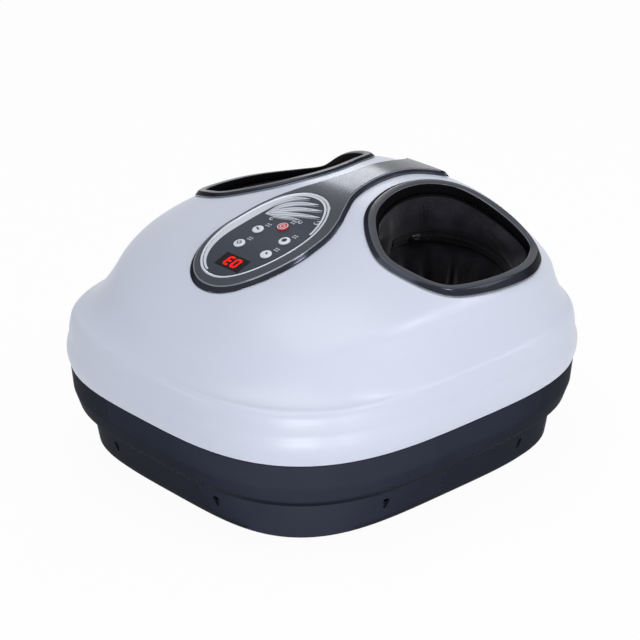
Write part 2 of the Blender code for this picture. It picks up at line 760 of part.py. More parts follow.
def top_shell():
    shoulder = casing_row(SHOULDER_INSET, SHOULDER_Z)
    crease = crease_row(1)
    rows = [
        casing_row(0, SHELL_RIM_Z),
        casing_row(-WALL_BULGE, (SHELL_RIM_Z + SHOULDER_LOW_Z) / 2),
        casing_row(0, SHOULDER_LOW_Z),
        casing_row(SHOULDER_ROLL_INSET, SHOULDER_ROLL_Z),
        shoulder,
    ]
    rows += [blend_rows(shoulder, crease, share, BAND_CURVE_POWER) for share in BAND_ROW_SHARES]
    rows.append(crease)
    rows += [crease_row(share) for share in PAD_ROW_SHARES]
    top = (0, PAD_CENTRE_Y, pad_z(0, PAD_CENTRE_Y))
    mesh = skin("top_shell", rows, last_point=top)
    roof = BVHTree.FromPolygons(
        [corner.co for corner in mesh.vertices], [face.vertices for face in mesh.polygons])
    shell = add_object("top_shell", mesh, white_gloss())
    solidify(shell, SHELL_WALL)
    for x, y in pillar_places():
        join(shell, "shell_pillar", rod_mesh(
            "shell_pillar", PILLAR_RADIUS, (x, y, SHELL_RIM_Z), (x, y, pillar_top(roof, x, y)), 10))
        cut(shell, "shell_pillar_hole", rod_mesh(
            "shell_pillar_hole", SCREW_RADIUS + SCREW_HOLE_GAP, (x, y, SHELL_RIM_Z - CUT_OVERRUN),
            (x, y, screw_head_z() + SCREW_LENGTH + SCREW_HOLE_GAP), 8))
    for side in (1, -1):
        cut(shell, "opening_cut", outline_prism(
            "opening_cut", [ring_point(share, SHELL_HOLE_INSET, side) for share in ring_shares()],
            CREASE_FRONT_Z - CUT_OVERRUN, DOME_TOP_Z + CUT_OVERRUN))
    cut(shell, "console_cut", outline_prism(
        "console_cut", bezel_outline(CONSOLE_HOLE_MARGIN), CREASE_FRONT_Z,
        DOME_TOP_Z + CUT_OVERRUN))
    return shade(shell, math.radians(40))


def pillar_top(roof, x, y):
    """Height inside the roof's wall where a pillar at this place may end."""
    heights = []
    for angle in angles(8):
        start = (x + PILLAR_RADIUS * math.cos(angle), y + PILLAR_RADIUS * math.sin(angle), SHELL_RIM_Z)
        heights.append(roof.ray_cast(start, (0, 0, 1))[0].z)
    return min(heights) - SHELL_WALL / 3


def outline_prism(name, outline, low, high):
    rows = [[(x, y, z) for x, y in outline] for z in (low, high)]
    return skin(name, rows, flat_ends=True)


def pillar_places():
    return [
        (side * across * HALF_WIDTH, along * HALF_DEPTH)
        for across, along in (PILLAR_FRONT_SHARES, PILLAR_REAR_SHARES) for side in (1, -1)
    ]


def screw_head_z():
    return PILLAR_WEB_TOP_Z - PILLAR_WEB - SEAT_GAP


def base_tub():
    inner = BASE_WALL
    rows = [
        casing_row(BOTTOM_INSET, BASE_BOTTOM_Z, BOTTOM_POWER),
        casing_row(BOTTOM_EDGE_INSET, BASE_BOTTOM_Z + BOTTOM_EDGE_RISE, BOTTOM_POWER),
        casing_row(STEP_INNER_INSET, STEP_Z),
        casing_row(STEP_OUTER_INSET, STEP_Z),
        casing_row(ROLL_INSET, BASE_ROLL_Z),
        casing_row(BAND_INSET, BASE_BAND_Z),
        casing_row(0, BASE_RIM_Z),
        casing_row(SHELL_WALL + LIP_CLEARANCE, BASE_RIM_Z),
        casing_row(SHELL_WALL + LIP_CLEARANCE, BASE_RIM_Z + LIP_HEIGHT),
        casing_row(SHELL_WALL + LIP_CLEARANCE + LIP_WALL, BASE_RIM_Z + LIP_HEIGHT),
        casing_row(SHELL_WALL + LIP_CLEARANCE + LIP_WALL, BASE_RIM_Z - inner),
        casing_row(BAND_INSET + inner, BASE_BAND_Z),
        casing_row(ROLL_INSET + inner, BASE_ROLL_Z + inner),
        casing_row(STEP_INNER_INSET + inner, STEP_Z + inner),
        casing_row(BOTTOM_EDGE_INSET + inner, FLOOR_TOP_Z + inner, BOTTOM_POWER),
        casing_row(BOTTOM_INSET + inner, FLOOR_TOP_Z, BOTTOM_POWER),
    ]
    mesh = skin("base_tub", rows, (0, 0, BASE_BOTTOM_Z), (0, 0, FLOOR_TOP_Z))
    tub = add_object("base_tub", mesh, black_gloss())
    for x, y in pillar_places():
        join(tub, "base_pillar", rod_mesh(
            "base_pillar", PILLAR_RADIUS, (x, y, BASE_BOTTOM_Z + BASE_WALL / 2),
            (x, y, PILLAR_WEB_TOP_Z), 10))
        cut(tub, "screw_well", rod_mesh(
            "screw_well", PILLAR_BORE, (x, y, -CUT_OVERRUN),
            (x, y, PILLAR_WEB_TOP_Z - PILLAR_WEB), 10))
        cut(tub, "screw_hole", rod_mesh(
            "screw_hole", SCREW_RADIUS + SCREW_HOLE_GAP, (x, y, BASE_BAND_Z),
            (x, y, PILLAR_WEB_TOP_Z + CUT_OVERRUN), 8))
    for x, y in standoff_places():
        join(tub, "board_standoff", rod_mesh(
            "board_standoff", STANDOFF_RADIUS, (x, y, BASE_BOTTOM_Z + BASE_WALL / 2),
            (x, y, FLOOR_TOP_Z + MAIN_BOARD_LIFT), 8))
    for x, y in pad_foot_places():
        cut(tub, "foot_seat", rod_mesh(
            "foot_seat", PAD_FOOT_RADIUS + SEAT_GAP, (x, y, -CUT_OVERRUN),
            (x, y, BASE_BOTTOM_Z + PAD_FOOT_SINK), PAD_FOOT_SIDES))
    for index in range(VENT_COUNT):
        x = (index - (VENT_COUNT - 1) / 2) * VENT_PITCH
        cut(tub, "vent", box_mesh(
            "vent", (x - VENT_WIDTH / 2, VENT_Y - VENT_LENGTH / 2, -CUT_OVERRUN),
            (x + VENT_WIDTH / 2, VENT_Y + VENT_LENGTH / 2, FLOOR_TOP_Z + CUT_OVERRUN)))
    for place, outward in side_slot_places():
        cut(tub, "side_slot", side_slot_mesh(place, outward))
    cut(tub, "inlet_cut", inlet_box("inlet_cut", INLET_WIDTH + 2 * SEAT_GAP,
                                    INLET_HEIGHT + 2 * SEAT_GAP, CUT_OVERRUN))
    return shade(tub, math.radians(30))


def lower_wall_inset(z):
    low = BASE_BOTTOM_Z + BOTTOM_EDGE_RISE
    share = (z - low) / (STEP_Z - low)
    return BOTTOM_EDGE_INSET + (STEP_INNER_INSET - BOTTOM_EDGE_INSET) * share


def side_slot_places():
    """Places and outward directions of the finger slots low on the sides, front and back."""
    inset = lower_wall_inset(SLOT_Z)
    half_x = HALF_WIDTH - inset
    half_y = HALF_DEPTH - inset
    power = (PLAN_POWER + BOTTOM_POWER) / 2
    places = []
    for sign in (1, -1):
        for turn in (1, -1):
            reach = half_x * (1 - (SIDE_SLOT_Y / half_y) ** power) ** (1 / power)
            places.append((Vector((sign * reach, turn * SIDE_SLOT_Y, SLOT_Z)), Vector((sign, 0, 0))))
            reach = half_y * (1 - (FRONT_SLOT_X / half_x) ** power) ** (1 / power)
            places.append((Vector((turn * FRONT_SLOT_X, sign * reach, SLOT_Z)), Vector((0, sign, 0))))
    return places


def side_slot_mesh(place, outward):
    lower = place - Vector((0, 0, SLOT_LENGTH / 2 - SLOT_RADIUS))
    upper = place + Vector((0, 0, SLOT_LENGTH / 2 - SLOT_RADIUS))
    across = Vector((outward.y, -outward.x, 0))
    outline = []
    for angle in angles(8):
        centre, radius = (upper, SLOT_RADIUS) if math.sin(angle) >= 0 else (lower, SLOT_RADIUS / 2)
        outline.append(centre + across * radius * math.cos(angle)
                       + Vector((0, 0, radius * math.sin(angle))))
    rows = [[point + outward * depth for point in outline] for depth in (-SLOT_DEPTH, CUT_OVERRUN)]
    return skin("side_slot", rows, place - outward * SLOT_DEPTH, place + outward * CUT_OVERRUN)


def pad_foot_places():
    return [(x * PAD_FOOT_X, y * PAD_FOOT_Y) for y in (-1, 1) for x in (1, -1)]


def corner_names(stem):
    return [f"{stem}_{end}_{side}" for end in ("front", "rear") for side in ("right", "left")]


def rubber_feet():
    for name, (x, y) in zip(corner_names("foot_pad"), pad_foot_places()):
        top = BASE_BOTTOM_Z + PAD_FOOT_SINK - SEAT_GAP
        mesh = rod_mesh(name, PAD_FOOT_RADIUS, (x, y, 0), (x, y, top), PAD_FOOT_SIDES)
        shade(add_object(name, mesh, black_rubber()))


def housing_screws():
    for name, (x, y) in zip(corner_names("screw"), pillar_places()):
        top = screw_head_z()
        mesh = rod_mesh(name, SCREW_HEAD_RADIUS, (x, y, top - SCREW_HEAD_HEIGHT), (x, y, top), 10)
        screw = add_object(name, mesh, steel())
        join(screw, "screw_shank", rod_mesh(
            "screw_shank", SCREW_RADIUS, (x, y, top - SCREW_HEAD_HEIGHT / 2),
            (x, y, top + SCREW_LENGTH), 8))
        shade(screw)


# Foot openings

def ring_shares():
    return [index / RING_COLUMNS for index in range(RING_COLUMNS)]


def opening_points():
    return [
        (OPENING_X + x * OPENING_HALF_WIDTH, OPENING_Y + y * OPENING_HALF_DEPTH)
        for x, y in OPENING_OUTLINE_SHARES
    ]


def ring_point(share, inset, side):
    """Place on the opening's outline, moved in by inset, on the given side."""
    points = opening_points()
    step = 1 / (8 * RING_COLUMNS)
    x, y = closed_curve_point(points, share)
    before = closed_curve_point(points, share - step)
    after = closed_curve_point(points, share + step)
    along = Vector((after[0] - before[0], after[1] - before[1])).normalized()
    inward = Vector((-along.y, along.x))
    centre = Vector((OPENING_X - x, OPENING_Y - y))
    if inward.dot(centre) < 0:
        inward.negate()
    return side * (x + inward.x * inset), y + inward.y * inset


def ring_rise(share):
    """Rise of the ring's crest over the dome, most at the outer side and the rear."""
    x, y = ring_point(share, 0, 1)
    angle = math.atan2(y - OPENING_Y, x - OPENING_X)
    return RING_RISE + RING_SIDE_GAIN * math.cos(angle) + RING_REAR_GAIN * math.sin(angle)


def opening_ring(name, side):
    rises = [ring_rise(share) for share in ring_shares()]
    level = [0] * RING_COLUMNS
    section = (
        (0, level, COVER_GAP),
        (RING_EDGE_INSET, rises, -RING_EDGE_DROP),
        (RING_CREST_INSET, rises, 0),
        (RING_FLANGE_INSET, level, RING_FLANGE_RISE),
        (THROAT_INSET, level, -THROAT_TOP_DEPTH),
        (THROAT_FOOT_INSET, level, -THROAT_DEPTH),
        (THROAT_FOOT_INSET - THROAT_WALL, level, -THROAT_DEPTH),
        (SHELL_HOLE_INSET + THROAT_SHELL_CLEARANCE, level, COVER_GAP),
    )
    rows = []
    for inset, heights, rise in section:
        row = []
        for share, height in zip(ring_shares(), heights):
            x, y = ring_point(share, inset, side)
            row.append(on_pad(x, y, height + rise))
        rows.append(row)
    ring = add_object(name, skin(name, rows, loop_rows=True), gunmetal())
    return shade(ring, math.radians(40))


# Foot liners

def zip_point(angle, radius, lift, side):
    """Point on the tilted zip circle, lift measured along its axis."""
    across = Vector((math.cos(ZIP_TILT), 0, -math.sin(ZIP_TILT)))
    along = Vector((0, 1, 0))
    point = ZIP_CENTRE + across * radius * math.cos(angle) + along * radius * math.sin(angle)
    point += ZIP_AXIS * lift
    return Vector((side * point.x, point.y, point.z))


def zip_reach(angle):
    """Radius of the liner at the zip: round at the back, drawn out towards the toes."""
    share = (-math.sin(angle) - ZIP_ROUND_SHARE) / (1 - ZIP_ROUND_SHARE)
    share = min(max(share, 0), 1)
    return ZIP_RADIUS + ZIP_FRONT_REACH * share ** 2 * (3 - 2 * share)


def sock_point(angle, inner_x, outer_x, front_y, rear_y, z, side, fold=0.0):
    middle_y = ZIP_Y
    half_x = (outer_x - inner_x) / 2
    half_y = rear_y - middle_y if math.sin(angle) > 0 else middle_y - front_y
    radius = oval_radius(angle, half_x, half_y, LINER_PLAN_POWER)
    radius -= fold * FOLD_DEPTH * (1 + math.cos(FOLD_COUNT * angle)) / 2
    x = (outer_x + inner_x) / 2 + radius * math.cos(angle)
    return Vector((side * x, middle_y + radius * math.sin(angle), z))


def belly_point(angle, side, fold):
    return sock_point(angle, BELLY_INNER_X, BELLY_OUTER_X, BELLY_FRONT_Y, BELLY_REAR_Y,
                      BELLY_Z, side, fold)


def low_point(angle, side, fold):
    return sock_point(angle, LOW_INNER_X, LOW_OUTER_X, LOW_FRONT_Y, LOW_REAR_Y, LOW_Z, side, fold)


def liner_floor_point(angle, side):
    return sock_point(angle, SOLE_INNER_X, SOLE_OUTER_X, SOLE_FRONT_Y, SOLE_REAR_Y, SOLE_Z, side)


def foot_liner(name, side):
    """A fabric sock hung from the ring: mouth, zip band, belly and flat sole."""
    columns = []
    for index in range(LINER_COLUMNS):
        x, y = ring_point(index / LINER_COLUMNS, THROAT_FOOT_INSET - THROAT_WALL / 2, 1)
        mouth = Vector((side * x, y, pad_z(x, y) - THROAT_DEPTH - COVER_GAP - SEAT_GAP))
        angle = math.atan2(y - ZIP_Y, x - ZIP_X)
        upper = zip_point(angle, zip_reach(angle), ZIP_BAND, side)
        lower = zip_point(angle, zip_reach(angle), -ZIP_BAND, side)
        belly = belly_point(angle, side, 1)
        low = low_point(angle, side, 1)
        sole = liner_floor_point(angle, side)
        columns.append((
            mouth, upper, lower, lower.lerp(belly, 0.5), belly, belly.lerp(low, 0.5), low,
            low.lerp(sole, 0.6), sole,
        ))
    rows = [list(row) for row in zip(*columns)]
    mesh = skin(name, rows, last_point=liner_centre(side), flip=side < 0)
    liner = add_object(name, mesh, dark_fabric())
    solidify(liner, LINER_WALL)
    return shade(liner, math.radians(60))


def liner_centre(side):
    x = (SOLE_INNER_X + SOLE_OUTER_X) / 2
    y = (SOLE_FRONT_Y + SOLE_REAR_Y) / 2
    return Vector((side * x, y, SOLE_Z))


def tape_radius():
    return ZIP_RADIUS - LINER_WALL - TAPE_LINER_GAP


def zip_tape(name, side):
    outer = tape_radius()
    section = (
        (outer, TAPE_WIDTH / 2), (outer, -TAPE_WIDTH / 2),
        (outer - TAPE_WALL, -TAPE_WIDTH / 2), (outer - TAPE_WALL, TAPE_WIDTH / 2),
    )
    rows = []
    for index in range(TAPE_COLUMNS + 1):
        angle = TAPE_START + (TAPE_END - TAPE_START) * index / TAPE_COLUMNS
        rows.append([zip_point(angle, radius, lift, side) for radius, lift in section])
    first = sum(rows[0], Vector()) / len(section)
    last = sum(rows[-1], Vector()) / len(section)
    return shade(add_object(name, skin(name, rows, first, last), dark_fabric()))


def slider_outer_radius():
    return tape_radius() - TAPE_WALL - SLIDER_TAPE_GAP


def slider_frame(side):
    """Directions at the slider's place: towards the middle, along the track, up."""
    spot = zip_point(SLIDER_REST, ZIP_RADIUS, 0, side)
    centre = Vector((side * ZIP_CENTRE.x, ZIP_CENTRE.y, ZIP_CENTRE.z))
    inward = (centre - spot).normalized()
    upward = Vector((side * ZIP_AXIS.x, ZIP_AXIS.y, ZIP_AXIS.z))
    along = upward.cross(inward)
    if along.y < 0:
        along.negate()
    return centre, inward, along, upward


def oriented_box(name, centre, axes, sizes):
    work = bmesh.new()
    bmesh.ops.create_cube(work, size=1)
    bmesh.ops.scale(work, vec=sizes, verts=work.verts)
    frame = Matrix(axes).transposed().to_4x4()
    work.transform(Matrix.Translation(centre) @ frame)
    work.normal_update()
    bmesh.ops.recalc_face_normals(work, faces=work.faces)
    return mesh_from(name, work)


def zip_slider(name, side):
    centre, inward, along, upward = slider_frame(side)
    radius = slider_outer_radius()
    spot = centre - inward * (radius - SLIDER_WALL / 2)
    mesh = oriented_box(name, spot, (inward, along, upward),
                        (SLIDER_WALL, SLIDER_LENGTH, SLIDER_HEIGHT))
    slider = add_object(name, mesh, steel())
    bevel(slider, SLIDER_WALL / 4, 2)
    face = radius - SLIDER_WALL
    height = BAIL_EYE + BAIL_ARCH
    join(slider, "bail", oriented_box(
        "bail", centre - inward * (face - height / 2 + SLIDER_WALL / 4), (inward, along, upward),
        (height + SLIDER_WALL / 2, BAIL_LENGTH, BAIL_WIDTH)))
    cut(slider, "bail_eye", oriented_box(
        "bail_eye", centre - inward * (face - BAIL_EYE / 2), (inward, along, upward),
        (BAIL_EYE, BAIL_EYE, BAIL_WIDTH + CUT_OVERRUN)))
    shade(slider)
    return move_origin(slider, centre)


def pull_pivot(side):
    centre, inward, _, _ = slider_frame(side)
    return centre - inward * (slider_outer_radius() - SLIDER_WALL - BAIL_EYE / 2)


def zip_pull(name, side):
    """Tab on the slider's bail, lying along the tape and turning in the bail's eye."""
    _, inward, along, upward = slider_frame(side)
    pivot = pull_pivot(side)
    middle = pivot + along * (PULL_LENGTH - PULL_WALL) / 2
    mesh = oriented_box(name, middle, (inward, along, upward), (PULL_WALL, PULL_LENGTH, PULL_WIDTH))
    pull = add_object(name, mesh, steel())
    low = PULL_WALL / 2
    high = math.hypot(BAIL_LENGTH / 2, BAIL_EYE / 2 + BAIL_ARCH) + RUN_GAP
    cut(pull, "pull_window", oriented_box(
        "pull_window", pivot + along * (low + high) / 2, (inward, along, upward),
        (CUT_OVERRUN, high - low, BAIL_WIDTH + 2 * RUN_GAP)))
    shade(pull)
    return move_origin(pull, pivot)


# Console

def trim_half_width(y):
    if y <= TRIM_HEAD_Y:
        share = (TRIM_HEAD_Y - y) / (TRIM_HEAD_Y - TRIM_FRONT_Y)
        return TRIM_HEAD_HALF * max(1 - share ** TRIM_HEAD_POWER, 0) ** (1 / TRIM_HEAD_POWER)
    share = (y - TRIM_HEAD_Y) / (TRIM_REAR_Y - TRIM_HEAD_Y)
    return TRIM_HEAD_HALF * smooth_value(TRIM_NECK_SHARES, share)


def trim_stations():
    """Places along the trim, closer together towards its round front."""
    head = TRIM_HEAD_Y - TRIM_FRONT_Y
    front_count = TRIM_STATIONS // 3
    stations = []
    for index in range(1, front_count + 1):
        turn = math.pi / 2 * index / front_count
        stations.append(TRIM_HEAD_Y - head * math.cos(turn))
    rest = TRIM_STATIONS - front_count
    length = TRIM_REAR_Y - TRIM_HEAD_Y
    stations += [TRIM_HEAD_Y + length * index / rest for index in range(1, rest + 1)]
    return stations


def console_trim():
    rows = []
    for y in trim_stations():
        half = trim_half_width(y)
        top = half - min(TRIM_BEVEL, half / 3)
        row = []
        for index in range(TRIM_COLUMNS):
            x = -top + 2 * top * index / (TRIM_COLUMNS - 1)
            row.append(on_pad(x, y, TRIM_HEIGHT))
        for index in range(TRIM_COLUMNS):
            x = half - 2 * half * index / (TRIM_COLUMNS - 1)
            row.append(on_pad(x, y, COVER_GAP))
        rows.append(row)
    front = on_pad(0, TRIM_FRONT_Y, TRIM_HEIGHT / 2)
    rear = on_pad(0, TRIM_REAR_Y, TRIM_HEIGHT / 2)
    mesh = skin("console_trim", rows, front, rear)
    trim = add_object("console_trim", mesh, gunmetal())
    cut(trim, "bezel_cut", outline_prism(
        "bezel_cut", bezel_outline(-CONSOLE_GAP), CREASE_FRONT_Z, DOME_TOP_Z + CUT_OVERRUN))
    return shade(trim, math.radians(30))


def bezel_outline(inset):
    return [
        oval_point(angle, BEZEL_HALF_WIDTH - inset, BEZEL_HALF_LENGTH - inset, BEZEL_POWER,
                   BEZEL_X, BEZEL_Y)
        for angle in angles(FACE_COLUMNS)
    ]


def console_bezel():
    section = (
        (0, COVER_GAP), (0, BEZEL_HEIGHT - BEZEL_WIDTH / 4), (BEZEL_WIDTH / 4, BEZEL_HEIGHT),
        (BEZEL_WIDTH, FACE_HEIGHT), (BEZEL_WIDTH, COVER_GAP),
    )
    rows = [[on_pad(x, y, rise) for x, y in bezel_outline(inset)] for inset, rise in section]
    bezel = add_object("console_bezel", skin("console_bezel", rows, loop_rows=True), chrome())
    return shade(bezel, math.radians(40))


def chrome():
    return material("chrome", (0.75, 0.76, 0.79), 0.12, 1.0)


def console_face():
    """Crowned plate inside the bezel, holed for the buttons and the display."""
    inset = BEZEL_WIDTH + CONSOLE_GAP
    outline = bezel_outline(inset)
    rows = []
    for share in reversed(FACE_ROW_SHARES):
        rows.append([face_point(x, y, share, COVER_GAP) for x, y in outline])
    for share in FACE_ROW_SHARES:
        rows.append([face_point(x, y, share, FACE_HEIGHT) for x, y in outline])
    under = on_pad(BEZEL_X, BEZEL_Y, COVER_GAP)
    over = on_pad(BEZEL_X, BEZEL_Y, FACE_HEIGHT)
    face = add_object("console_face", skin("console_face", rows, under, over), slate())
    for x, y in board_post_places():
        foot = board_top_point(x, y) + board_normal() * SEAT_GAP
        reach = (on_pad(x, y, FACE_HEIGHT / 2) - foot).z * board_normal().z
        join(face, "board_post", rod_mesh(
            "board_post", BOARD_POST_RADIUS, foot + board_normal() * reach, foot, 8))
    for name, (x, y) in BUTTON_PLACES.items():
        cut(face, "hole_" + name, rod_mesh(
            "hole_" + name, BUTTON_RADIUS + BUTTON_GAP,
            *button_line(x, y, -CUT_OVERRUN, FACE_HEIGHT + CUT_OVERRUN), BUTTON_SIDES))
        cut(face, "well_" + name, rod_mesh(
            "well_" + name, BUTTON_RADIUS + BUTTON_FLANGE + BUTTON_GAP,
            *button_line(x, y, -CUT_OVERRUN, FACE_HEIGHT - DISPLAY_WALL), BUTTON_SIDES))
    cut(face, "display_hole", display_box("display_hole", SEAT_GAP, -CUT_OVERRUN, CUT_OVERRUN))
    return shade(face, math.radians(40))


def face_point(x, y, share, rise):
    return on_pad(BEZEL_X + (x - BEZEL_X) * share, BEZEL_Y + (y - BEZEL_Y) * share, rise)


def button_line(x, y, low, high):
    """Two points on the line square to the face, measured from the shell's surface."""
    base = on_pad(x, y, 0)
    normal = pad_normal(x, y)
    return base + normal * low, base + normal * high


def push_button(name, x, y):
    """A cap with a retaining flange, turned about the line square to the face."""
    finish = material("red_gloss", (0.75, 0.03, 0.03), 0.25)
    if name != "button_power":
        finish = material("button_white", (0.75, 0.77, 0.80), 0.3)
    seat = FACE_HEIGHT - DISPLAY_WALL - SEAT_GAP
    rim = FACE_HEIGHT + BUTTON_RISE
    profile = (
        (seat - BUTTON_FLANGE_WALL, BUTTON_RADIUS + BUTTON_FLANGE),
        (seat, BUTTON_RADIUS + BUTTON_FLANGE), (seat, BUTTON_RADIUS),
        (rim - BUTTON_DOME, BUTTON_RADIUS), (rim, BUTTON_RADIUS - BUTTON_DOME),
    )
    normal = pad_normal(x, y)
    turn = normal.to_track_quat("Z", "Y")
    rows = []
    for rise, radius in profile:
        centre = button_line(x, y, rise, rise)[0]
        rows.append([
            centre + turn @ Vector((radius * math.cos(angle), radius * math.sin(angle), 0))
            for angle in angles(BUTTON_SIDES)
        ])
    base, top = button_line(x, y, profile[0][0], rim + BUTTON_DOME / 2)
    button = shade(add_object(name, skin(name, rows, base, top), finish), math.radians(40))
    return move_origin(button, base)


def display_box(name, grow, low, high):
    """A block square to the face at the display, low and high from its two faces."""
    normal = pad_normal(DISPLAY_X, DISPLAY_Y)
    across = Vector((1, 0, 0))
    across = (across - normal * across.dot(normal)).normalized()
    along = normal.cross(across)
    top = FACE_HEIGHT + high
    centre = on_pad(DISPLAY_X, DISPLAY_Y, 0) + normal * (low + top) / 2
    sizes = (DISPLAY_WIDTH + 2 * grow, DISPLAY_LENGTH + 2 * grow, top - low)
    return oriented_box(name, centre, (across, along, normal), sizes)


def display_window():
    window = add_object("display_window", display_box(
        "display_window", 0, FACE_HEIGHT - DISPLAY_WALL, -CONSOLE_GAP / 2),
        material("smoked_lens", (0.02, 0.005, 0.006), 0.1))
    return shade(bevel(window, CONSOLE_GAP / 2, 1))


def display_module():
    normal = pad_normal(DISPLAY_X, DISPLAY_Y)
    across = Vector((1, 0, 0))
    across = (across - normal * across.dot(normal)).normalized()
    along = normal.cross(across)
    top = FACE_HEIGHT - DISPLAY_WALL - SEAT_GAP
    centre = on_pad(DISPLAY_X, DISPLAY_Y, 0) + normal * (top - MODULE_HEIGHT / 2)
    mesh = oriented_box("display_module", centre, (across, along, normal),
                        (MODULE_WIDTH, MODULE_LENGTH, MODULE_HEIGHT))
    return add_object("display_module", mesh, material("module_red", (0.3, 0.01, 0.01), 0.4))


def board_normal():
    return pad_normal(BEZEL_X, BEZEL_Y)


def board_top_point(x, y):
    """Point on the console board's top, straight below a place on the face."""
    centre = on_pad(BEZEL_X, BEZEL_Y, -BOARD_DROP)
    normal = board_normal()
    drop = (normal.x * (x - centre.x) + normal.y * (y - centre.y)) / normal.z
    return Vector((x, y, centre.z - drop))


def board_post_places():
    x = BOARD_WIDTH / 2 - BOARD_POST_SIDE_INSET
    y = BOARD_LENGTH / 2 - BOARD_POST_END_INSET
    return [(BEZEL_X + side * x, BEZEL_Y + end * y) for end in (1, -1) for side in (1, -1)]


def console_board():
    normal = board_normal()
    across = Vector((1, 0, 0))
    along = normal.cross(across).normalized()
    centre = board_top_point(BEZEL_X, BEZEL_Y) - normal * BOARD_WALL / 2
    mesh = oriented_box("console_board", centre, (across, along, normal),
                        (BOARD_WIDTH, BOARD_LENGTH, BOARD_WALL))
    board = add_object("console_board", mesh, board_green())
    return board


# Foot beds and rollers

def foot_bed(name, side):
    inner = BED_INNER_X
    outer = BED_OUTER_X
    bottom = FLOOR_TOP_Z + SEAT_GAP

    def span(low_x, high_x):
        return sorted((side * low_x, side * high_x))

    left, right = span(inner, outer)
    bed = add_object(name, box_mesh(
        name, (left, BED_FRONT_Y, bottom), (right, BED_REAR_Y, BED_TOP_Z)), grey_plastic())
    left, right = span(inner + BED_WALL, outer - BED_WALL)
    cut(bed, "bed_hollow", box_mesh(
        "bed_hollow", (left, BED_FRONT_Y + BED_WALL, bottom - CUT_OVERRUN),
        (right, BED_REAR_Y - BED_WALL, BED_TOP_Z - BED_WALL)))
    left, right = span(outer - BED_WALL, WING_OUTER_X)
    join(bed, "bed_wing", box_mesh(
        "bed_wing", (left, CHEEK_FRONT_Y, BED_TOP_Z - BED_WALL), (right, CHEEK_REAR_Y, BED_TOP_Z)))
    left, right = span(WING_OUTER_X - BED_WALL, WING_OUTER_X)
    join(bed, "bed_cheek", box_mesh(
        "bed_cheek", (left, CHEEK_FRONT_Y, BED_TOP_Z - BED_WALL), (right, CHEEK_REAR_Y, CHEEK_TOP_Z)))
    for shaft_y in (FRONT_SHAFT_Y, REAR_SHAFT_Y):
        half = ROLLER_HALF_LENGTH + SLOT_CLEARANCE
        reach = ROLLER_RADIUS + SLOT_CLEARANCE
        left, right = span(LANE_X - half, LANE_X + half)
        cut(bed, "roller_slot", box_mesh(
            "roller_slot", (left, shaft_y - reach, BED_TOP_Z - BED_WALL - CUT_OVERRUN),
            (right, shaft_y + reach, BED_TOP_Z + CUT_OVERRUN)))
        notch = SHAFT_RADIUS + NOTCH_CLEARANCE
        left, right = span(inner - CUT_OVERRUN, outer + CUT_OVERRUN)
        cut(bed, "shaft_notch", box_mesh(
            "shaft_notch", (left, shaft_y - notch, bottom - CUT_OVERRUN),
            (right, shaft_y + notch, SHAFT_Z + notch)))
    return bed


def turned_rows(profile, y, sides):
    """Circles about a shaft's axis, from the (x, radius) pairs of a profile."""
    return [
        [(x, y + radius * math.cos(angle), SHAFT_Z + radius * math.sin(angle))
         for angle in angles(sides)]
        for x, radius in profile
    ]


def shaft_points(y):
    return (0, y, SHAFT_Z)


def cross_shaft(name, y):
    centre = shaft_points(y)
    mesh = rod_mesh(name, SHAFT_RADIUS, (-SHAFT_HALF_LENGTH, y, SHAFT_Z),
                    (SHAFT_HALF_LENGTH, y, SHAFT_Z), 16)
    return move_origin(shade(add_object(name, mesh, steel())), centre)


def massage_roller(name, side, y):
    """Lobed roller with a bore for its shaft."""
    rings = 4 * ROLLER_LOBES
    low = side * LANE_X - ROLLER_HALF_LENGTH
    high = side * LANE_X + ROLLER_HALF_LENGTH
    profile = []
    for index in range(rings + 1):
        share = index / rings
        wave = (1 - math.cos(TAU * ROLLER_LOBES * share)) / 2
        radius = ROLLER_RADIUS - ROLLER_WAIST * (1 - wave)
        if index in (0, rings):
            radius = ROLLER_END_RADIUS
        profile.append((low + (high - low) * share, radius))
    profile += [(high, SHAFT_RADIUS + RUN_GAP), (low, SHAFT_RADIUS + RUN_GAP)]
    rows = turned_rows(profile, y, ROLLER_SIDES)
    roller = add_object(name, skin(name, rows, loop_rows=True), grey_plastic())
    return move_origin(shade(roller, math.radians(50)), shaft_points(y))


def bearing_block(name, side, y):
    low = side * BEARING_X - BEARING_WIDTH / 2
    high = side * BEARING_X + BEARING_WIDTH / 2
    mesh = box_mesh(name, (low, y - BEARING_HALF_DEPTH, FLOOR_TOP_Z + SEAT_GAP),
                    (high, y + BEARING_HALF_DEPTH, SHAFT_Z + BEARING_CROWN))
    block = add_object(name, mesh, grey_plastic())
    cut(block, "bearing_bore", rod_mesh(
        "bearing_bore", SHAFT_RADIUS + RUN_GAP, (low - CUT_OVERRUN, y, SHAFT_Z),
        (high + CUT_OVERRUN, y, SHAFT_Z), 20))
    return shade(block)


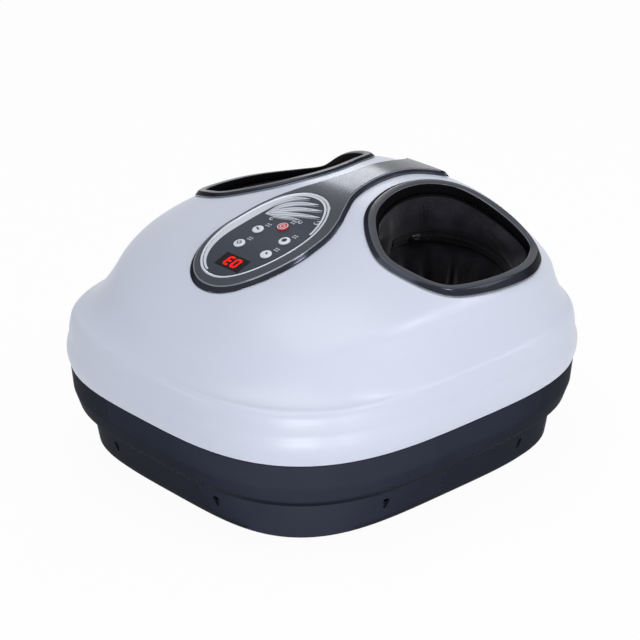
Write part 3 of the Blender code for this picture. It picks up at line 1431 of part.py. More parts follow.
def worm_wheel():
    """Spur-cut wheel on the rear shaft that the worm drives."""
    centre = shaft_points(REAR_SHAFT_Y)
    steps = 4 * WHEEL_TEETH
    outline = []
    for index in range(steps):
        tooth = index % 4 in (0, 1)
        radius = WHEEL_RADIUS if tooth else WHEEL_RADIUS - TOOTH_DEPTH
        angle = TAU * (index - 0.5) / steps
        outline.append((centre[1] + radius * math.cos(angle), centre[2] + radius * math.sin(angle)))
    rows = [[(x, y, z) for y, z in outline] for x in (-WHEEL_WIDTH / 2, WHEEL_WIDTH / 2)]
    mesh = skin("worm_wheel", rows, flat_ends=True)
    wheel = add_object("worm_wheel", mesh, material("gear_nylon", (0.8, 0.78, 0.7), 0.5))
    cut(wheel, "wheel_bore", rod_mesh(
        "wheel_bore", SHAFT_RADIUS + RUN_GAP, (-WHEEL_WIDTH, centre[1], centre[2]),
        (WHEEL_WIDTH, centre[1], centre[2]), 12))
    return move_origin(shade(wheel, math.radians(30)), centre)


def pulley(name, y):
    half = PULLEY_WIDTH / 2
    rim = PULLEY_RADIUS + 2 * BELT_WALL
    flange = PULLEY_FLANGE
    bore = SHAFT_RADIUS + RUN_GAP
    profile = (
        (-half, bore), (-half, rim), (-half + flange, rim), (-half + flange, PULLEY_RADIUS),
        (half - flange, PULLEY_RADIUS), (half - flange, rim), (half, rim), (half, bore),
    )
    rows = turned_rows([(PULLEY_X + x, radius) for x, radius in profile], y, PULLEY_SIDES)
    wheel = add_object(name, skin(name, rows, loop_rows=True), grey_plastic())
    return move_origin(shade(wheel, math.radians(35)), shaft_points(y))


def drive_belt():
    """Flat belt round both pulleys: two straight runs and two half circles."""
    inner = PULLEY_RADIUS + RUN_GAP
    rows = []
    for radius, x in ((inner, -1), (inner, 1), (inner + BELT_WALL, 1), (inner + BELT_WALL, -1)):
        row = []
        for centre_y, start in ((REAR_SHAFT_Y, -math.pi / 2), (FRONT_SHAFT_Y, math.pi / 2)):
            for angle in angles(12, start, math.pi) + [start + math.pi]:
                row.append((PULLEY_X + x * BELT_WIDTH / 2, centre_y + radius * math.cos(angle),
                            SHAFT_Z + radius * math.sin(angle)))
        rows.append(row)
    belt = add_object("drive_belt", skin("drive_belt", rows, loop_rows=True), black_rubber())
    return shade(belt, math.radians(40))


def worm_centre():
    return (0, MOTOR_FRONT_Y, WORM_Z)


def motor_shaft():
    """Motor shaft with a one-start worm, whose lead is the wheel's tooth pitch."""
    pitch = TAU * (WHEEL_RADIUS - TOOTH_DEPTH / 2) / WHEEL_TEETH
    start = REAR_SHAFT_Y - pitch * WORM_TURNS / 2
    steps = 8 * WORM_TURNS
    rows = []
    for index in range(steps + 1):
        turns = WORM_TURNS * (index / steps - 0.5)
        fade = min(1, 2 * (WORM_TURNS / 2 - abs(turns)))
        row = []
        for angle in angles(WORM_SIDES):
            crest = (1 + math.cos(angle + math.pi / 2 - TAU * turns)) / 2
            radius = WORM_CORE + fade * (WORM_RADIUS - WORM_CORE) * crest ** 2
            row.append((radius * math.cos(angle), start + pitch * WORM_TURNS * index / steps,
                        WORM_Z + radius * math.sin(angle)))
        rows.append(row)
    mesh = skin("motor_shaft", rows, (0, start, WORM_Z),
                (0, start + pitch * WORM_TURNS, WORM_Z))
    worm = add_object("motor_shaft", mesh, steel())
    join(worm, "shaft_core", rod_mesh(
        "shaft_core", MOTOR_SHAFT_RADIUS, (0, GEARBOX_FRONT_Y + GEARBOX_WALL + RUN_GAP, WORM_Z),
        (0, MOTOR_FRONT_Y + MOTOR_LENGTH / 3, WORM_Z), 10))
    return move_origin(shade(worm, math.radians(50)), worm_centre())


def drive_motor():
    rear = MOTOR_FRONT_Y + MOTOR_LENGTH
    mesh = rod_mesh("drive_motor", MOTOR_RADIUS, (0, MOTOR_FRONT_Y, WORM_Z), (0, rear, WORM_Z), 20)
    motor = add_object("drive_motor", mesh, steel())
    join(motor, "motor_boss", rod_mesh(
        "motor_boss", MOTOR_BOSS_RADIUS, (0, GEARBOX_REAR_Y + SEAT_GAP, WORM_Z),
        (0, MOTOR_FRONT_Y + BED_WALL, WORM_Z), 16))
    join(motor, "motor_foot", box_mesh(
        "motor_foot", (-MOTOR_RADIUS / 2, MOTOR_FRONT_Y + BED_WALL, FLOOR_TOP_Z + SEAT_GAP),
        (MOTOR_RADIUS / 2, MOTOR_FRONT_Y + MOTOR_LENGTH / 3, WORM_Z)))
    cut(motor, "motor_bore", rod_mesh(
        "motor_bore", MOTOR_SHAFT_RADIUS + RUN_GAP, (0, GEARBOX_REAR_Y - CUT_OVERRUN, WORM_Z),
        (0, MOTOR_FRONT_Y + MOTOR_LENGTH / 3 + RUN_GAP, WORM_Z), 12))
    return shade(motor)


def gearbox_tray():
    top = WORM_Z + GEARBOX_HEAD
    bottom = FLOOR_TOP_Z + SEAT_GAP
    half = GEARBOX_HALF_WIDTH
    wall = GEARBOX_WALL
    tray = add_object("gearbox_tray", box_mesh(
        "gearbox_tray", (-half, GEARBOX_FRONT_Y, bottom), (half, GEARBOX_REAR_Y, top)),
        grey_plastic())
    cut(tray, "tray_hollow", box_mesh(
        "tray_hollow", (wall - half, GEARBOX_FRONT_Y + wall, bottom + wall),
        (half - wall, GEARBOX_REAR_Y - wall, top + CUT_OVERRUN)))
    notch = SHAFT_RADIUS + RUN_GAP
    cut(tray, "wheel_shaft_notch", box_mesh(
        "wheel_shaft_notch", (-half - CUT_OVERRUN, REAR_SHAFT_Y - notch, SHAFT_Z),
        (half + CUT_OVERRUN, REAR_SHAFT_Y + notch, top + CUT_OVERRUN)))
    cut(tray, "wheel_shaft_seat", rod_mesh(
        "wheel_shaft_seat", notch, (-half - CUT_OVERRUN, REAR_SHAFT_Y, SHAFT_Z),
        (half + CUT_OVERRUN, REAR_SHAFT_Y, SHAFT_Z), 16))
    cut(tray, "worm_exit", rod_mesh(
        "worm_exit", MOTOR_SHAFT_RADIUS + RUN_GAP, (0, GEARBOX_REAR_Y - wall - CUT_OVERRUN, WORM_Z),
        (0, GEARBOX_REAR_Y + CUT_OVERRUN, WORM_Z), 16))
    return shade(tray)


def gearbox_cover():
    top = WORM_Z + GEARBOX_HEAD
    half = GEARBOX_HALF_WIDTH
    cover = add_object("gearbox_cover", box_mesh(
        "gearbox_cover", (-half, GEARBOX_FRONT_Y, top + SEAT_GAP),
        (half, GEARBOX_REAR_Y, top + SEAT_GAP + GEARBOX_WALL)), grey_plastic())
    return bevel(cover, GEARBOX_WALL / 3, 1)


# Air system

def air_bag(name, side):
    outer = WING_OUTER_X - BED_WALL - BAG_WALL_GAP
    left, right = sorted((side * outer, side * (outer - BAG_THICKNESS)))
    mesh = box_mesh(name, (left, BAG_FRONT_Y, BAG_BOTTOM_Z), (right, BAG_REAR_Y, BAG_TOP_Z))
    bag = add_object(name, mesh, material("bag_vinyl", (0.25, 0.27, 0.30), 0.45))
    return shade(bevel(bag, BAG_ROUNDING, 3))


def pump_nozzle(side):
    y = PUMP_FRONT_Y + (PUMP_REAR_Y - PUMP_FRONT_Y) / 4
    z = FLOOR_TOP_Z + PUMP_HEIGHT * 3 / 4
    return Vector((side * (PUMP_HALF_WIDTH + NOZZLE_LENGTH), y, z))


def air_pump():
    mesh = box_mesh("air_pump", (-PUMP_HALF_WIDTH, PUMP_FRONT_Y, FLOOR_TOP_Z + SEAT_GAP),
                    (PUMP_HALF_WIDTH, PUMP_REAR_Y, FLOOR_TOP_Z + PUMP_HEIGHT))
    pump = add_object("air_pump", mesh, grey_plastic())
    bevel(pump, PUMP_ROUNDING, 2)
    for side in (1, -1):
        tip = pump_nozzle(side)
        root = tip - Vector((side * (NOZZLE_LENGTH + PUMP_ROUNDING), 0, 0))
        join(pump, "pump_nozzle", rod_mesh("pump_nozzle", NOZZLE_RADIUS, root, tip, 12))
    return shade(pump)


def hose_route(side):
    """From the pump's nozzle, over the front corner of the bed, to the bag's front end."""
    start = pump_nozzle(side) + Vector((side * SEAT_GAP, 0, 0))
    bag_x = side * (WING_OUTER_X - BED_WALL - BAG_WALL_GAP - BAG_THICKNESS / 2)
    end = Vector((bag_x, BAG_FRONT_Y - 3 * SEAT_GAP, BAG_MIDDLE_Z))
    middle = [
        Vector((side * across * HALF_WIDTH, along * HALF_DEPTH, level * BAG_MIDDLE_Z))
        for across, along, level in HOSE_ROUTE_SHARES
    ]
    return [start, *middle, end - Vector((0, 4 * HOSE_RADIUS, 0)), end]


def smooth_route(points, count):
    """Points along a smooth open curve through the route's points."""
    route = []
    spans = len(points) - 1
    for index in range(count):
        place = spans * index / (count - 1)
        k = min(int(place), spans - 1)
        t = place - k
        p0 = points[max(k - 1, 0)]
        p1 = points[k]
        p2 = points[k + 1]
        p3 = points[min(k + 2, spans)]
        route.append(((2 * p1) + (p2 - p0) * t + (2 * p0 - 5 * p1 + 4 * p2 - p3) * t ** 2
                      + (3 * p1 - p0 - 3 * p2 + p3) * t ** 3) / 2)
    return route


def air_hose(name, side):
    curve = bpy.data.curves.new(name, "CURVE")
    curve.dimensions = "3D"
    curve.bevel_depth = HOSE_RADIUS
    curve.bevel_resolution = 1
    curve.use_fill_caps = True
    places = smooth_route(hose_route(side), HOSE_POINTS)
    spline = curve.splines.new("POLY")
    spline.points.add(len(places) - 1)
    for point, place in zip(spline.points, places):
        point.co = (*place, 1)
    hose = bpy.data.objects.new(name, curve)
    PARTS.objects.link(hose)
    curve.materials.append(material("clear_hose", (0.45, 0.47, 0.5), 0.3))
    return hose


# Electrics

def standoff_places():
    x = MAIN_BOARD_HALF_WIDTH - STANDOFF_INSET
    front = MAIN_BOARD_FRONT_Y + STANDOFF_INSET
    rear = MAIN_BOARD_REAR_Y - STANDOFF_INSET
    return [(side * x, y) for y in (front, rear) for side in (1, -1)]


def main_board():
    bottom = FLOOR_TOP_Z + MAIN_BOARD_LIFT + SEAT_GAP
    top = bottom + MAIN_BOARD_WALL
    mesh = box_mesh("main_board", (-MAIN_BOARD_HALF_WIDTH, MAIN_BOARD_FRONT_Y, bottom),
                    (MAIN_BOARD_HALF_WIDTH, MAIN_BOARD_REAR_Y, top))
    board = add_object("main_board", mesh, board_green())
    depth = MAIN_BOARD_REAR_Y - MAIN_BOARD_FRONT_Y
    tall = MAIN_BOARD_LIFT * 2
    for across_share, along_share, size_share in BOARD_BLOCK_SHARES:
        x = across_share * MAIN_BOARD_HALF_WIDTH
        y = MAIN_BOARD_FRONT_Y + along_share * depth
        half = STANDOFF_INSET * size_share
        join(board, "board_part", box_mesh(
            "board_part", (x - half, y - half, bottom + MAIN_BOARD_WALL / 2),
            (x + half, y + half, top + tall * size_share)))
    return board


def power_supply():
    mesh = box_mesh(
        "power_supply", (SUPPLY_X - SUPPLY_WIDTH / 2, SUPPLY_FRONT_Y, FLOOR_TOP_Z + SEAT_GAP),
        (SUPPLY_X + SUPPLY_WIDTH / 2, SUPPLY_REAR_Y, FLOOR_TOP_Z + SUPPLY_HEIGHT))
    supply = add_object("power_supply", mesh, steel())
    return bevel(supply, MAIN_BOARD_WALL, 1)


def rear_wall_y(x, z):
    share = (z - BASE_BAND_Z) / (BASE_RIM_Z - BASE_BAND_Z)
    inset = BAND_INSET * (1 - share)
    across = (abs(x) / (HALF_WIDTH - inset)) ** PLAN_POWER
    return (HALF_DEPTH - inset) * (1 - across) ** (1 / PLAN_POWER)


def inlet_box(name, width, height, overrun):
    y = rear_wall_y(INLET_X + math.copysign(width / 2, INLET_X), INLET_Z) - INLET_SINK
    return box_mesh(
        name, (INLET_X - width / 2, y - INLET_LENGTH - overrun, INLET_Z - height / 2),
        (INLET_X + width / 2, y + overrun, INLET_Z + height / 2))


def mains_inlet():
    inlet = add_object("mains_inlet", inlet_box("mains_inlet", INLET_WIDTH, INLET_HEIGHT, 0),
                       black_gloss())
    y = rear_wall_y(INLET_X + math.copysign(INLET_WIDTH / 2, INLET_X), INLET_Z) - INLET_SINK
    cut(inlet, "inlet_recess", box_mesh(
        "inlet_recess",
        (INLET_X - INLET_RECESS_WIDTH / 2, y - INLET_RECESS_DEPTH, INLET_Z - INLET_RECESS_HEIGHT / 2),
        (INLET_X + INLET_RECESS_WIDTH / 2, y + CUT_OVERRUN, INLET_Z + INLET_RECESS_HEIGHT / 2)))
    floor = y - INLET_RECESS_DEPTH
    for sign in (1, -1):
        x = INLET_X + sign * PIN_SPREAD
        join(inlet, "inlet_pin", rod_mesh(
            "inlet_pin", PIN_RADIUS, (x, floor - PIN_RADIUS, INLET_Z),
            (x, floor + PIN_LENGTH, INLET_Z), 10))
    return shade(inlet)


# Assembly

def build_sides():
    for word, side in (("right", 1), ("left", -1)):
        opening_ring("opening_ring_" + word, side)
        foot_liner("foot_liner_" + word, side)
        zip_tape("zip_tape_" + word, side)
        zip_slider("zip_slider_" + word, side)
        zip_pull("zip_pull_" + word, side)
        foot_bed("foot_bed_" + word, side)
        air_bag("air_bag_" + word, side)
        air_hose("air_hose_" + word, side)
        for end, y in (("front", FRONT_SHAFT_Y), ("rear", REAR_SHAFT_Y)):
            massage_roller(f"roller_{end}_{word}", side, y)
            bearing_block(f"bearing_{end}_{word}", side, y)


def build_console():
    console_trim()
    console_bezel()
    console_face()
    display_window()
    display_module()
    console_board()
    for name, (x, y) in BUTTON_PLACES.items():
        push_button(name, x, y)


def build_drive():
    cross_shaft("front_shaft", FRONT_SHAFT_Y)
    cross_shaft("rear_shaft", REAR_SHAFT_Y)
    worm_wheel()
    pulley("front_pulley", FRONT_SHAFT_Y)
    pulley("rear_pulley", REAR_SHAFT_Y)
    drive_belt()
    motor_shaft()
    drive_motor()
    gearbox_tray()
    gearbox_cover()


clear_scene()
PARTS = new_collection("foot_massager")
CUTTERS = new_collection("cutters")
base_tub()
top_shell()
rubber_feet()
housing_screws()
build_sides()
build_console()
build_drive()
air_pump()
main_board()
power_supply()
mains_inlet()
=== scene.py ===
"""Looks of the foot massager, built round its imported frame. Lengths are in metres.

The toe side faces -Y, +X is the right side, +Z is up. The surface formulas are the part's own.
"""
import json
from math import atan2, cos, degrees, exp, pi, radians, sin, tau
import bmesh
import bpy
from mathutils import Matrix, Vector, noise


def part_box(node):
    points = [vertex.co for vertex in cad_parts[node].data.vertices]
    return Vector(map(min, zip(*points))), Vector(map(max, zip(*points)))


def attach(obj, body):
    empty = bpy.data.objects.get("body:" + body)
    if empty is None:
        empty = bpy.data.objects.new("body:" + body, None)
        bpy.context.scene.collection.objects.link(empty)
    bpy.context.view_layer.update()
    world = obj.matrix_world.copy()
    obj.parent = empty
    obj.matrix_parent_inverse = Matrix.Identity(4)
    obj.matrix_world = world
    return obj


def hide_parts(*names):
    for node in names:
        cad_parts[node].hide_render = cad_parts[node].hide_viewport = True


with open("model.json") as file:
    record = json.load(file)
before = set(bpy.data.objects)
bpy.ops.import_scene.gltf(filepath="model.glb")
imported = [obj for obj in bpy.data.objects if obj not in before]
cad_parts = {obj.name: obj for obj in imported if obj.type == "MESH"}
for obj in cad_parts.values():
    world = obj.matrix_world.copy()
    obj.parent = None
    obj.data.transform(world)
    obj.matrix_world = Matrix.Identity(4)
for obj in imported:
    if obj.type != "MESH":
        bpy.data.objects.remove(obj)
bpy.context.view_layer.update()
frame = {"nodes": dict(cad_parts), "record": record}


# Camera, found from the photograph's outline
CAMERA_AZIMUTH = 0.82967
CAMERA_ELEVATION = 0.41714
CAMERA_DISTANCE = 2.22152
CAMERA_RIGHT = -0.00292
CAMERA_UP = 0.1117
LENS = 123.75
SENSOR = 36.0


# Casing, as in the part
HALF_WIDTH = 0.210
HALF_DEPTH = 0.228
PLAN_POWER = 3.16
FOOT_STAND = 0.0025
SHELL_WALL = 0.0030
BASE_WALL = 0.0028
JOINT_GROOVE = 0.0008
BASE_RIM_Z = FOOT_STAND + 0.0885
BASE_BAND_Z = FOOT_STAND + 0.0640
BASE_ROLL_Z = FOOT_STAND + 0.0480
STEP_Z = FOOT_STAND + 0.0390
BAND_INSET = 0.0018
ROLL_INSET = 0.0065
STEP_OUTER_INSET = 0.0160
STEP_INNER_INSET = 0.0185
BOTTOM_EDGE_INSET = 0.0290
BOTTOM_INSET = 0.0330
BOTTOM_EDGE_RISE = 0.0040
BOTTOM_POWER = 3.77
SHELL_RIM_Z = BASE_RIM_Z + JOINT_GROOVE
WALL_BULGE = 0.0027
SHOULDER_LOW_Z = FOOT_STAND + 0.1177
SHOULDER_Z = FOOT_STAND + 0.1397
SHOULDER_INSET = 0.0035
BAND_CURVE_POWER = 1.9
PAD_HALF_WIDTH = 0.194
PAD_CENTRE_Y = 0.0204
PAD_FRONT = 0.2146
PAD_REAR = 0.2030
PAD_POWER = 2.34
CREASE_FRONT_Z = FOOT_STAND + 0.1650
CREASE_MIDDLE_Z = FOOT_STAND + 0.1983
CREASE_REAR_Z = FOOT_STAND + 0.1702
DOME_TOP_Z = FOOT_STAND + 0.2574
DOME_CROSS_POWER = 2.94
DOME_LINE_SHARES = (
    (0.0, 0.0), (0.120, 0.395), (0.206, 0.561), (0.345, 0.735), (0.523, 0.956),
    (0.650, 1.0), (0.798, 0.881), (0.912, 0.45), (1.0, 0.056),
)


# Foot opening, its ring and its liner, right side
OPENING_X = 0.1145
OPENING_Y = 0.0575
OPENING_HALF_WIDTH = 0.0765
OPENING_HALF_DEPTH = 0.0905
OPENING_OUTLINE_SHARES = (
    (0.998, -0.236), (0.870, -0.730), (0.476, -0.979), (-0.084, -1.020), (-0.727, -0.657),
    (-1.020, -0.140), (-0.995, 0.364), (-0.731, 0.745), (-0.125, 0.900), (0.438, 0.980),
    (0.752, 0.724), (0.948, 0.304),
)
RING_RISE = 0.0044
RING_SIDE_GAIN = 0.0016
RING_REAR_GAIN = 0.0008
RING_EDGE_INSET = 0.0026
RING_EDGE_DROP = 0.0011
RING_CREST_INSET = 0.0044
RING_FLANGE_INSET = 0.0110
RING_FLANGE_RISE = 0.0022
THROAT_INSET = 0.0128
THROAT_TOP_DEPTH = 0.0012
THROAT_FOOT_INSET = 0.0146
THROAT_WALL = 0.0022
THROAT_DEPTH = 0.0075
SHELL_HOLE_INSET = 0.0055
THROAT_SHELL_CLEARANCE = 0.0013
SEAT_GAP = 0.0003
CUT_OVERRUN = 0.004
COVER_GAP = 0.0006
LINER_WALL = 0.0012
ZIP_X = 0.113
ZIP_Y = 0.058
ZIP_Z = FOOT_STAND + 0.194
ZIP_TILT = radians(13)
ZIP_RADIUS = 0.0640
ZIP_BAND = 0.0085
ZIP_FRONT_REACH = 0.0260
ZIP_ROUND_SHARE = 0.36
BELLY = (0.0465, 0.1655, -0.112, 0.116, FOOT_STAND + 0.140)
LOW = (0.0465, 0.1640, -0.1385, 0.104, FOOT_STAND + 0.090)
SOLE = (0.0540, 0.1570, -0.1290, 0.094, 0.0685)
LINER_PLAN_POWER = 2.6
TAPE_WIDTH = 0.0110
TAPE_LINER_GAP = 0.0009
TAPE_WALL = 0.0005
TAPE_START = radians(-12)
TAPE_END = radians(196)


# Console, as in the part
TRIM_HEIGHT = 0.0050
TRIM_HEAD_HALF = 0.0580
TRIM_HEAD_Y = -0.0720
TRIM_FRONT_Y = -0.1515
TRIM_HEAD_POWER = 2.2
TRIM_REAR_Y = 0.1420
TRIM_NECK_SHARES = (
    (0.0, 1.0), (0.13, 0.955), (0.235, 0.83), (0.325, 0.65), (0.42, 0.465), (0.525, 0.36),
    (0.64, 0.315), (0.80, 0.325), (0.92, 0.405), (1.0, 0.526),
)
BEZEL_X = -0.0040
BEZEL_Y = -0.0705
BEZEL_HALF_WIDTH = 0.0470
BEZEL_HALF_LENGTH = 0.0695
BEZEL_POWER = 2.15
BEZEL_WIDTH = 0.0030
BEZEL_HEIGHT = 0.0052
CONSOLE_GAP = 0.0004
FACE_HEIGHT = 0.0044
CONSOLE_HOLE_MARGIN = 0.0060
BUTTON_RADIUS = 0.0058
BUTTON_GAP = 0.0003
BUTTON_RISE = 0.0010
BUTTON_DOME = 0.0005
BUTTON_PLACES = {
    "button_power": (0.0033, -0.0535),
    "button_heat": (-0.0157, -0.0685),
    "button_mode": (-0.0137, -0.0935),
    "button_intensity": (0.0233, -0.0695),
    "button_timer": (0.0243, -0.0935),
}
DISPLAY_X = 0.0033
DISPLAY_Y = -0.1165
DISPLAY_WIDTH = 0.0330
DISPLAY_LENGTH = 0.0175
PRINT_RISE = 0.0001
PRINT_WALL = 0.00006


# Points round an outline, and sides of a strand and of a rod
CASING_COLUMNS = 240
RING_COLUMNS = 200
LINER_COLUMNS = 216
OUTLINE_COLUMNS = 160
STRAND_SIDES = 6
ROD_SIDES = 64
CORNER_CUT = 0.22


# Curves and the dome's surface

def oval_radius(angle, half_x, half_y, power):
    across = abs(cos(angle) / half_x) ** power
    along = abs(sin(angle) / half_y) ** power
    return (across + along) ** (-1 / power)


def oval_point(angle, half_x, half_y, power, centre_x=0, centre_y=0):
    radius = oval_radius(angle, half_x, half_y, power)
    return centre_x + radius * cos(angle), centre_y + radius * sin(angle)


def smooth_value(table, place):
    """Monotone cubic through a table of (place, value) pairs."""
    if place <= table[0][0]:
        return table[0][1]
    if place >= table[-1][0]:
        return table[-1][1]
    spans = [b[0] - a[0] for a, b in zip(table, table[1:])]
    slopes = [(b[1] - a[1]) / span for a, b, span in zip(table, table[1:], spans)]
    turns = [slopes[0]]
    for before, after in zip(slopes, slopes[1:]):
        steady = before * after > 0
        turns.append(2 * before * after / (before + after) if steady else 0)
    turns.append(slopes[-1])
    index = max(i for i, pair in enumerate(table[:-1]) if pair[0] <= place)
    span = spans[index]
    t = (place - table[index][0]) / span
    start = table[index][1] * (1 + 2 * t) + turns[index] * span * t
    finish = table[index + 1][1] * (3 - 2 * t) - turns[index + 1] * span * (1 - t)
    return start * (1 - t) ** 2 + finish * t ** 2


def curve_between(knots, t):
    """Point of a smooth curve between the middle two of four knots, t from 0 to 1."""
    return tuple(
        ((2 * b) + (c - a) * t + (2 * a - 5 * b + 4 * c - d) * t ** 2
         + (3 * b - a - 3 * c + d) * t ** 3) / 2
        for a, b, c, d in zip(*knots)
    )


def closed_curve_point(points, share):
    """Point on a smooth closed curve through the given points, share 0 to 1."""
    place = (share % 1) * len(points)
    index = int(place)
    knots = [points[(index + step) % len(points)] for step in (-1, 0, 1, 2)]
    return curve_between(knots, place - index)


def between(start, end, share):
    return tuple(a + (b - a) * share for a, b in zip(start, end))


def shares(count):
    """Shares from 0 up to 1, without 1 itself."""
    return [index / count for index in range(count)]


def stops(count):
    """Shares from 0 to 1, both included."""
    return [index / count for index in range(count + 1)]


def line(start, end, count=4):
    return [between(start, end, share) for share in stops(count)]


def angles(count):
    return [tau * share for share in shares(count)]


def polar(radius, angle, height=0):
    return Vector((radius * cos(angle), radius * sin(angle), height))


def direction(start, end):
    """Unit vector from one plan point to another."""
    return Vector((end[0] - start[0], end[1] - start[1])).normalized()


def beside(point, along, away):
    """The plan point away to the left of another, seen along a direction."""
    return point[0] - along.y * away, point[1] + along.x * away


def with_neighbours(points):
    """Each point of an open line, with the one before it and the one after it."""
    return zip(points[:1] + points[:-1], points, points[1:] + points[-1:])


def ease(share):
    share = min(max(share, 0), 1)
    return share * share * (3 - 2 * share)


def pad_share(y):
    """Distance from the pad's widest line, 1 at the pad's front and rear ends."""
    reach = PAD_FRONT if y < PAD_CENTRE_Y else PAD_REAR
    return min(abs(y - PAD_CENTRE_Y) / reach, 1)


def pad_half_width(y):
    return PAD_HALF_WIDTH * (1 - pad_share(y) ** PAD_POWER) ** (1 / PAD_POWER)


def crease_z(y):
    end = CREASE_FRONT_Z if y < PAD_CENTRE_Y else CREASE_REAR_Z
    return CREASE_MIDDLE_Z - (CREASE_MIDDLE_Z - end) * pad_share(y) ** 2


def ridge_z(y):
    share = (y - PAD_CENTRE_Y + PAD_FRONT) / (PAD_FRONT + PAD_REAR)
    return CREASE_FRONT_Z + (DOME_TOP_Z - CREASE_FRONT_Z) * smooth_value(DOME_LINE_SHARES, share)


def pad_z(x, y):
    half = pad_half_width(y)
    across = min(abs(x) / half, 1) if half > SEAT_GAP else 0
    edge = crease_z(y)
    return edge + (ridge_z(y) - edge) * (1 - across ** DOME_CROSS_POWER)


def on_pad(x, y, rise):
    return Vector((x, y, pad_z(x, y) + rise))


def pad_normal(x, y):
    step = SHELL_WALL
    slope_x = (pad_z(x + step, y) - pad_z(x - step, y)) / (2 * step)
    slope_y = (pad_z(x, y + step) - pad_z(x, y - step)) / (2 * step)
    return Vector((-slope_x, -slope_y, 1)).normalized()


# Mesh helpers

def mesh_from(name, work, outward=True):
    """A mesh of the work's faces, turned outwards unless it is a plain sheet."""
    if outward:
        work.normal_update()
        bmesh.ops.recalc_face_normals(work, faces=work.faces)
    mesh = bpy.data.meshes.new(name)
    work.to_mesh(mesh)
    work.free()
    return mesh


def add_loft(work, rows, loop_rows=False):
    """Faces through closed rows of points; gives the rings of corners."""
    rings = [[work.verts.new(point) for point in row] for row in rows]
    for lower, upper in zip(rings, rings[1:] + (rings[:1] if loop_rows else [])):
        for corners in zip(lower, lower[1:] + lower[:1], upper[1:] + upper[:1], upper):
            work.faces.new(corners)
    return rings


def add_strand(work, rows):
    """Faces through closed rows of points, with a flat face at each end."""
    rings = add_loft(work, rows)
    work.faces.new(rings[0])
    work.faces.new(rings[-1])


def tube(work, points, radius, sides=STRAND_SIDES):
    """A closed round strand through a few points."""
    rows = []
    for before, point, after in with_neighbours(points):
        turn = (after - before).normalized().to_track_quat("Z", "Y")
        rows.append([point + turn @ polar(radius, angle) for angle in angles(sides)])
    add_strand(work, rows)


def add_box(work, size, place, axes=((1, 0, 0), (0, 1, 0), (0, 0, 1))):
    """A box about a place, with its sides along three axes."""
    corners = bmesh.ops.create_cube(work, size=1)["verts"]
    turn = Matrix(axes).transposed().to_4x4()
    bmesh.ops.transform(work, verts=corners,
                        matrix=Matrix.Translation(place) @ turn @ Matrix.Diagonal((*size, 1)))


def skin(name, rows, first_point=None, last_point=None, loop_rows=False):
    """Faces through closed rows of points, drawn to a point at the ends that have one."""
    work = bmesh.new()
    rings = add_loft(work, rows, loop_rows)
    for point, ring in ((first_point, rings[0]), (last_point, rings[-1])):
        if point is None:
            continue
        tip = work.verts.new(point)
        for corners in zip(ring, ring[1:] + ring[:1]):
            work.faces.new((*corners, tip))
    return mesh_from(name, work)


def rod_mesh(radius, start, end):
    work = bmesh.new()
    tube(work, [start, end], radius, ROD_SIDES)
    return mesh_from("rod", work)


def dome_hole(outline):
    """A prism on a plan outline, right through the dome."""
    heights = (CREASE_FRONT_Z, DOME_TOP_Z + CUT_OVERRUN)
    middle = [sum(values) / len(outline) for values in zip(*outline)]
    rows = [[(x, y, z) for x, y in outline] for z in heights]
    return skin("prism", rows, *[(*middle, z) for z in heights])


def rounded(section, passes, closed=True):
    """Corner cutting, so that a section's corners turn into small radii."""
    for _ in range(passes):
        section = [
            between(a, b, share)
            for a, b in zip(section, section[1:] + (section[:1] if closed else []))
            for share in (CORNER_CUT, 1 - CORNER_CUT)
        ]
    return section


# Pieces

def linked(name, data):
    made = bpy.data.objects.new(name, data)
    bpy.context.scene.collection.objects.link(made)
    return made


def show(name, mesh, *finishes, body="housing", stands_for=(), slot=None):
    """Link a mesh as a piece that rides on a body. Its faces have the first finish at first."""
    piece = linked(name, mesh)
    for finish_name in finishes:
        mesh.materials.append(FINISHES[finish_name])
    mesh.shade_smooth()
    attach(piece, body)
    if stands_for:
        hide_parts(*stands_for)
    return piece


def apply_modifiers(piece):
    graph = bpy.context.evaluated_depsgraph_get()
    made = bpy.data.meshes.new_from_object(piece.evaluated_get(graph))
    piece.modifiers.clear()
    piece.data = made
    made.shade_smooth()


def thicken(piece, wall):
    """Give a skin a wall on its inner side."""
    step = piece.modifiers.new("wall", "SOLIDIFY")
    step.thickness = wall
    step.offset = -1
    apply_modifiers(piece)


def sharpen(piece, limit):
    """Mark the edges over a limit in degrees as sharp."""
    piece.data.set_sharp_from_angle(angle=radians(limit))


def carve(piece, meshes, limit, solver="MANIFOLD"):
    """Subtract closed meshes from a piece, and sharpen the mesh that is left."""
    tools = [linked("cutter", mesh) for mesh in meshes]
    for tool in tools:
        step = piece.modifiers.new("cut", "BOOLEAN")
        step.operation = "DIFFERENCE"
        step.object = tool
        step.solver = solver
    apply_modifiers(piece)
    for tool in tools:
        bpy.data.objects.remove(tool, do_unlink=True)
    sharpen(piece, limit)


# Procedural finishes

COAT_ROUGHNESS = 0.08
CLOUD_ROUGHNESS = 0.55
NAP_ROUGHNESS = 0.4
THREAD_SCALE = 1600.0
THREAD_STRETCHES = ((1, 1, 0.25), (0.25, 0.25, 1))


def set_inputs(tree, node, inputs):
    """Set sockets to values, and link those that are given another node's output."""
    for socket, value in inputs.items():
        if isinstance(value, bpy.types.NodeSocket):
            tree.links.new(value, node.inputs[socket])
        else:
            node.inputs[socket].default_value = value


def add_node(tree, kind, inputs, operation=None):
    """Add a node and give its first output."""
    node = tree.nodes.new(kind)
    if operation:
        node.operation = operation
    set_inputs(tree, node, inputs)
    return node.outputs[0]


def object_place(tree):
    return tree.nodes.new("ShaderNodeTexCoord").outputs["Object"]


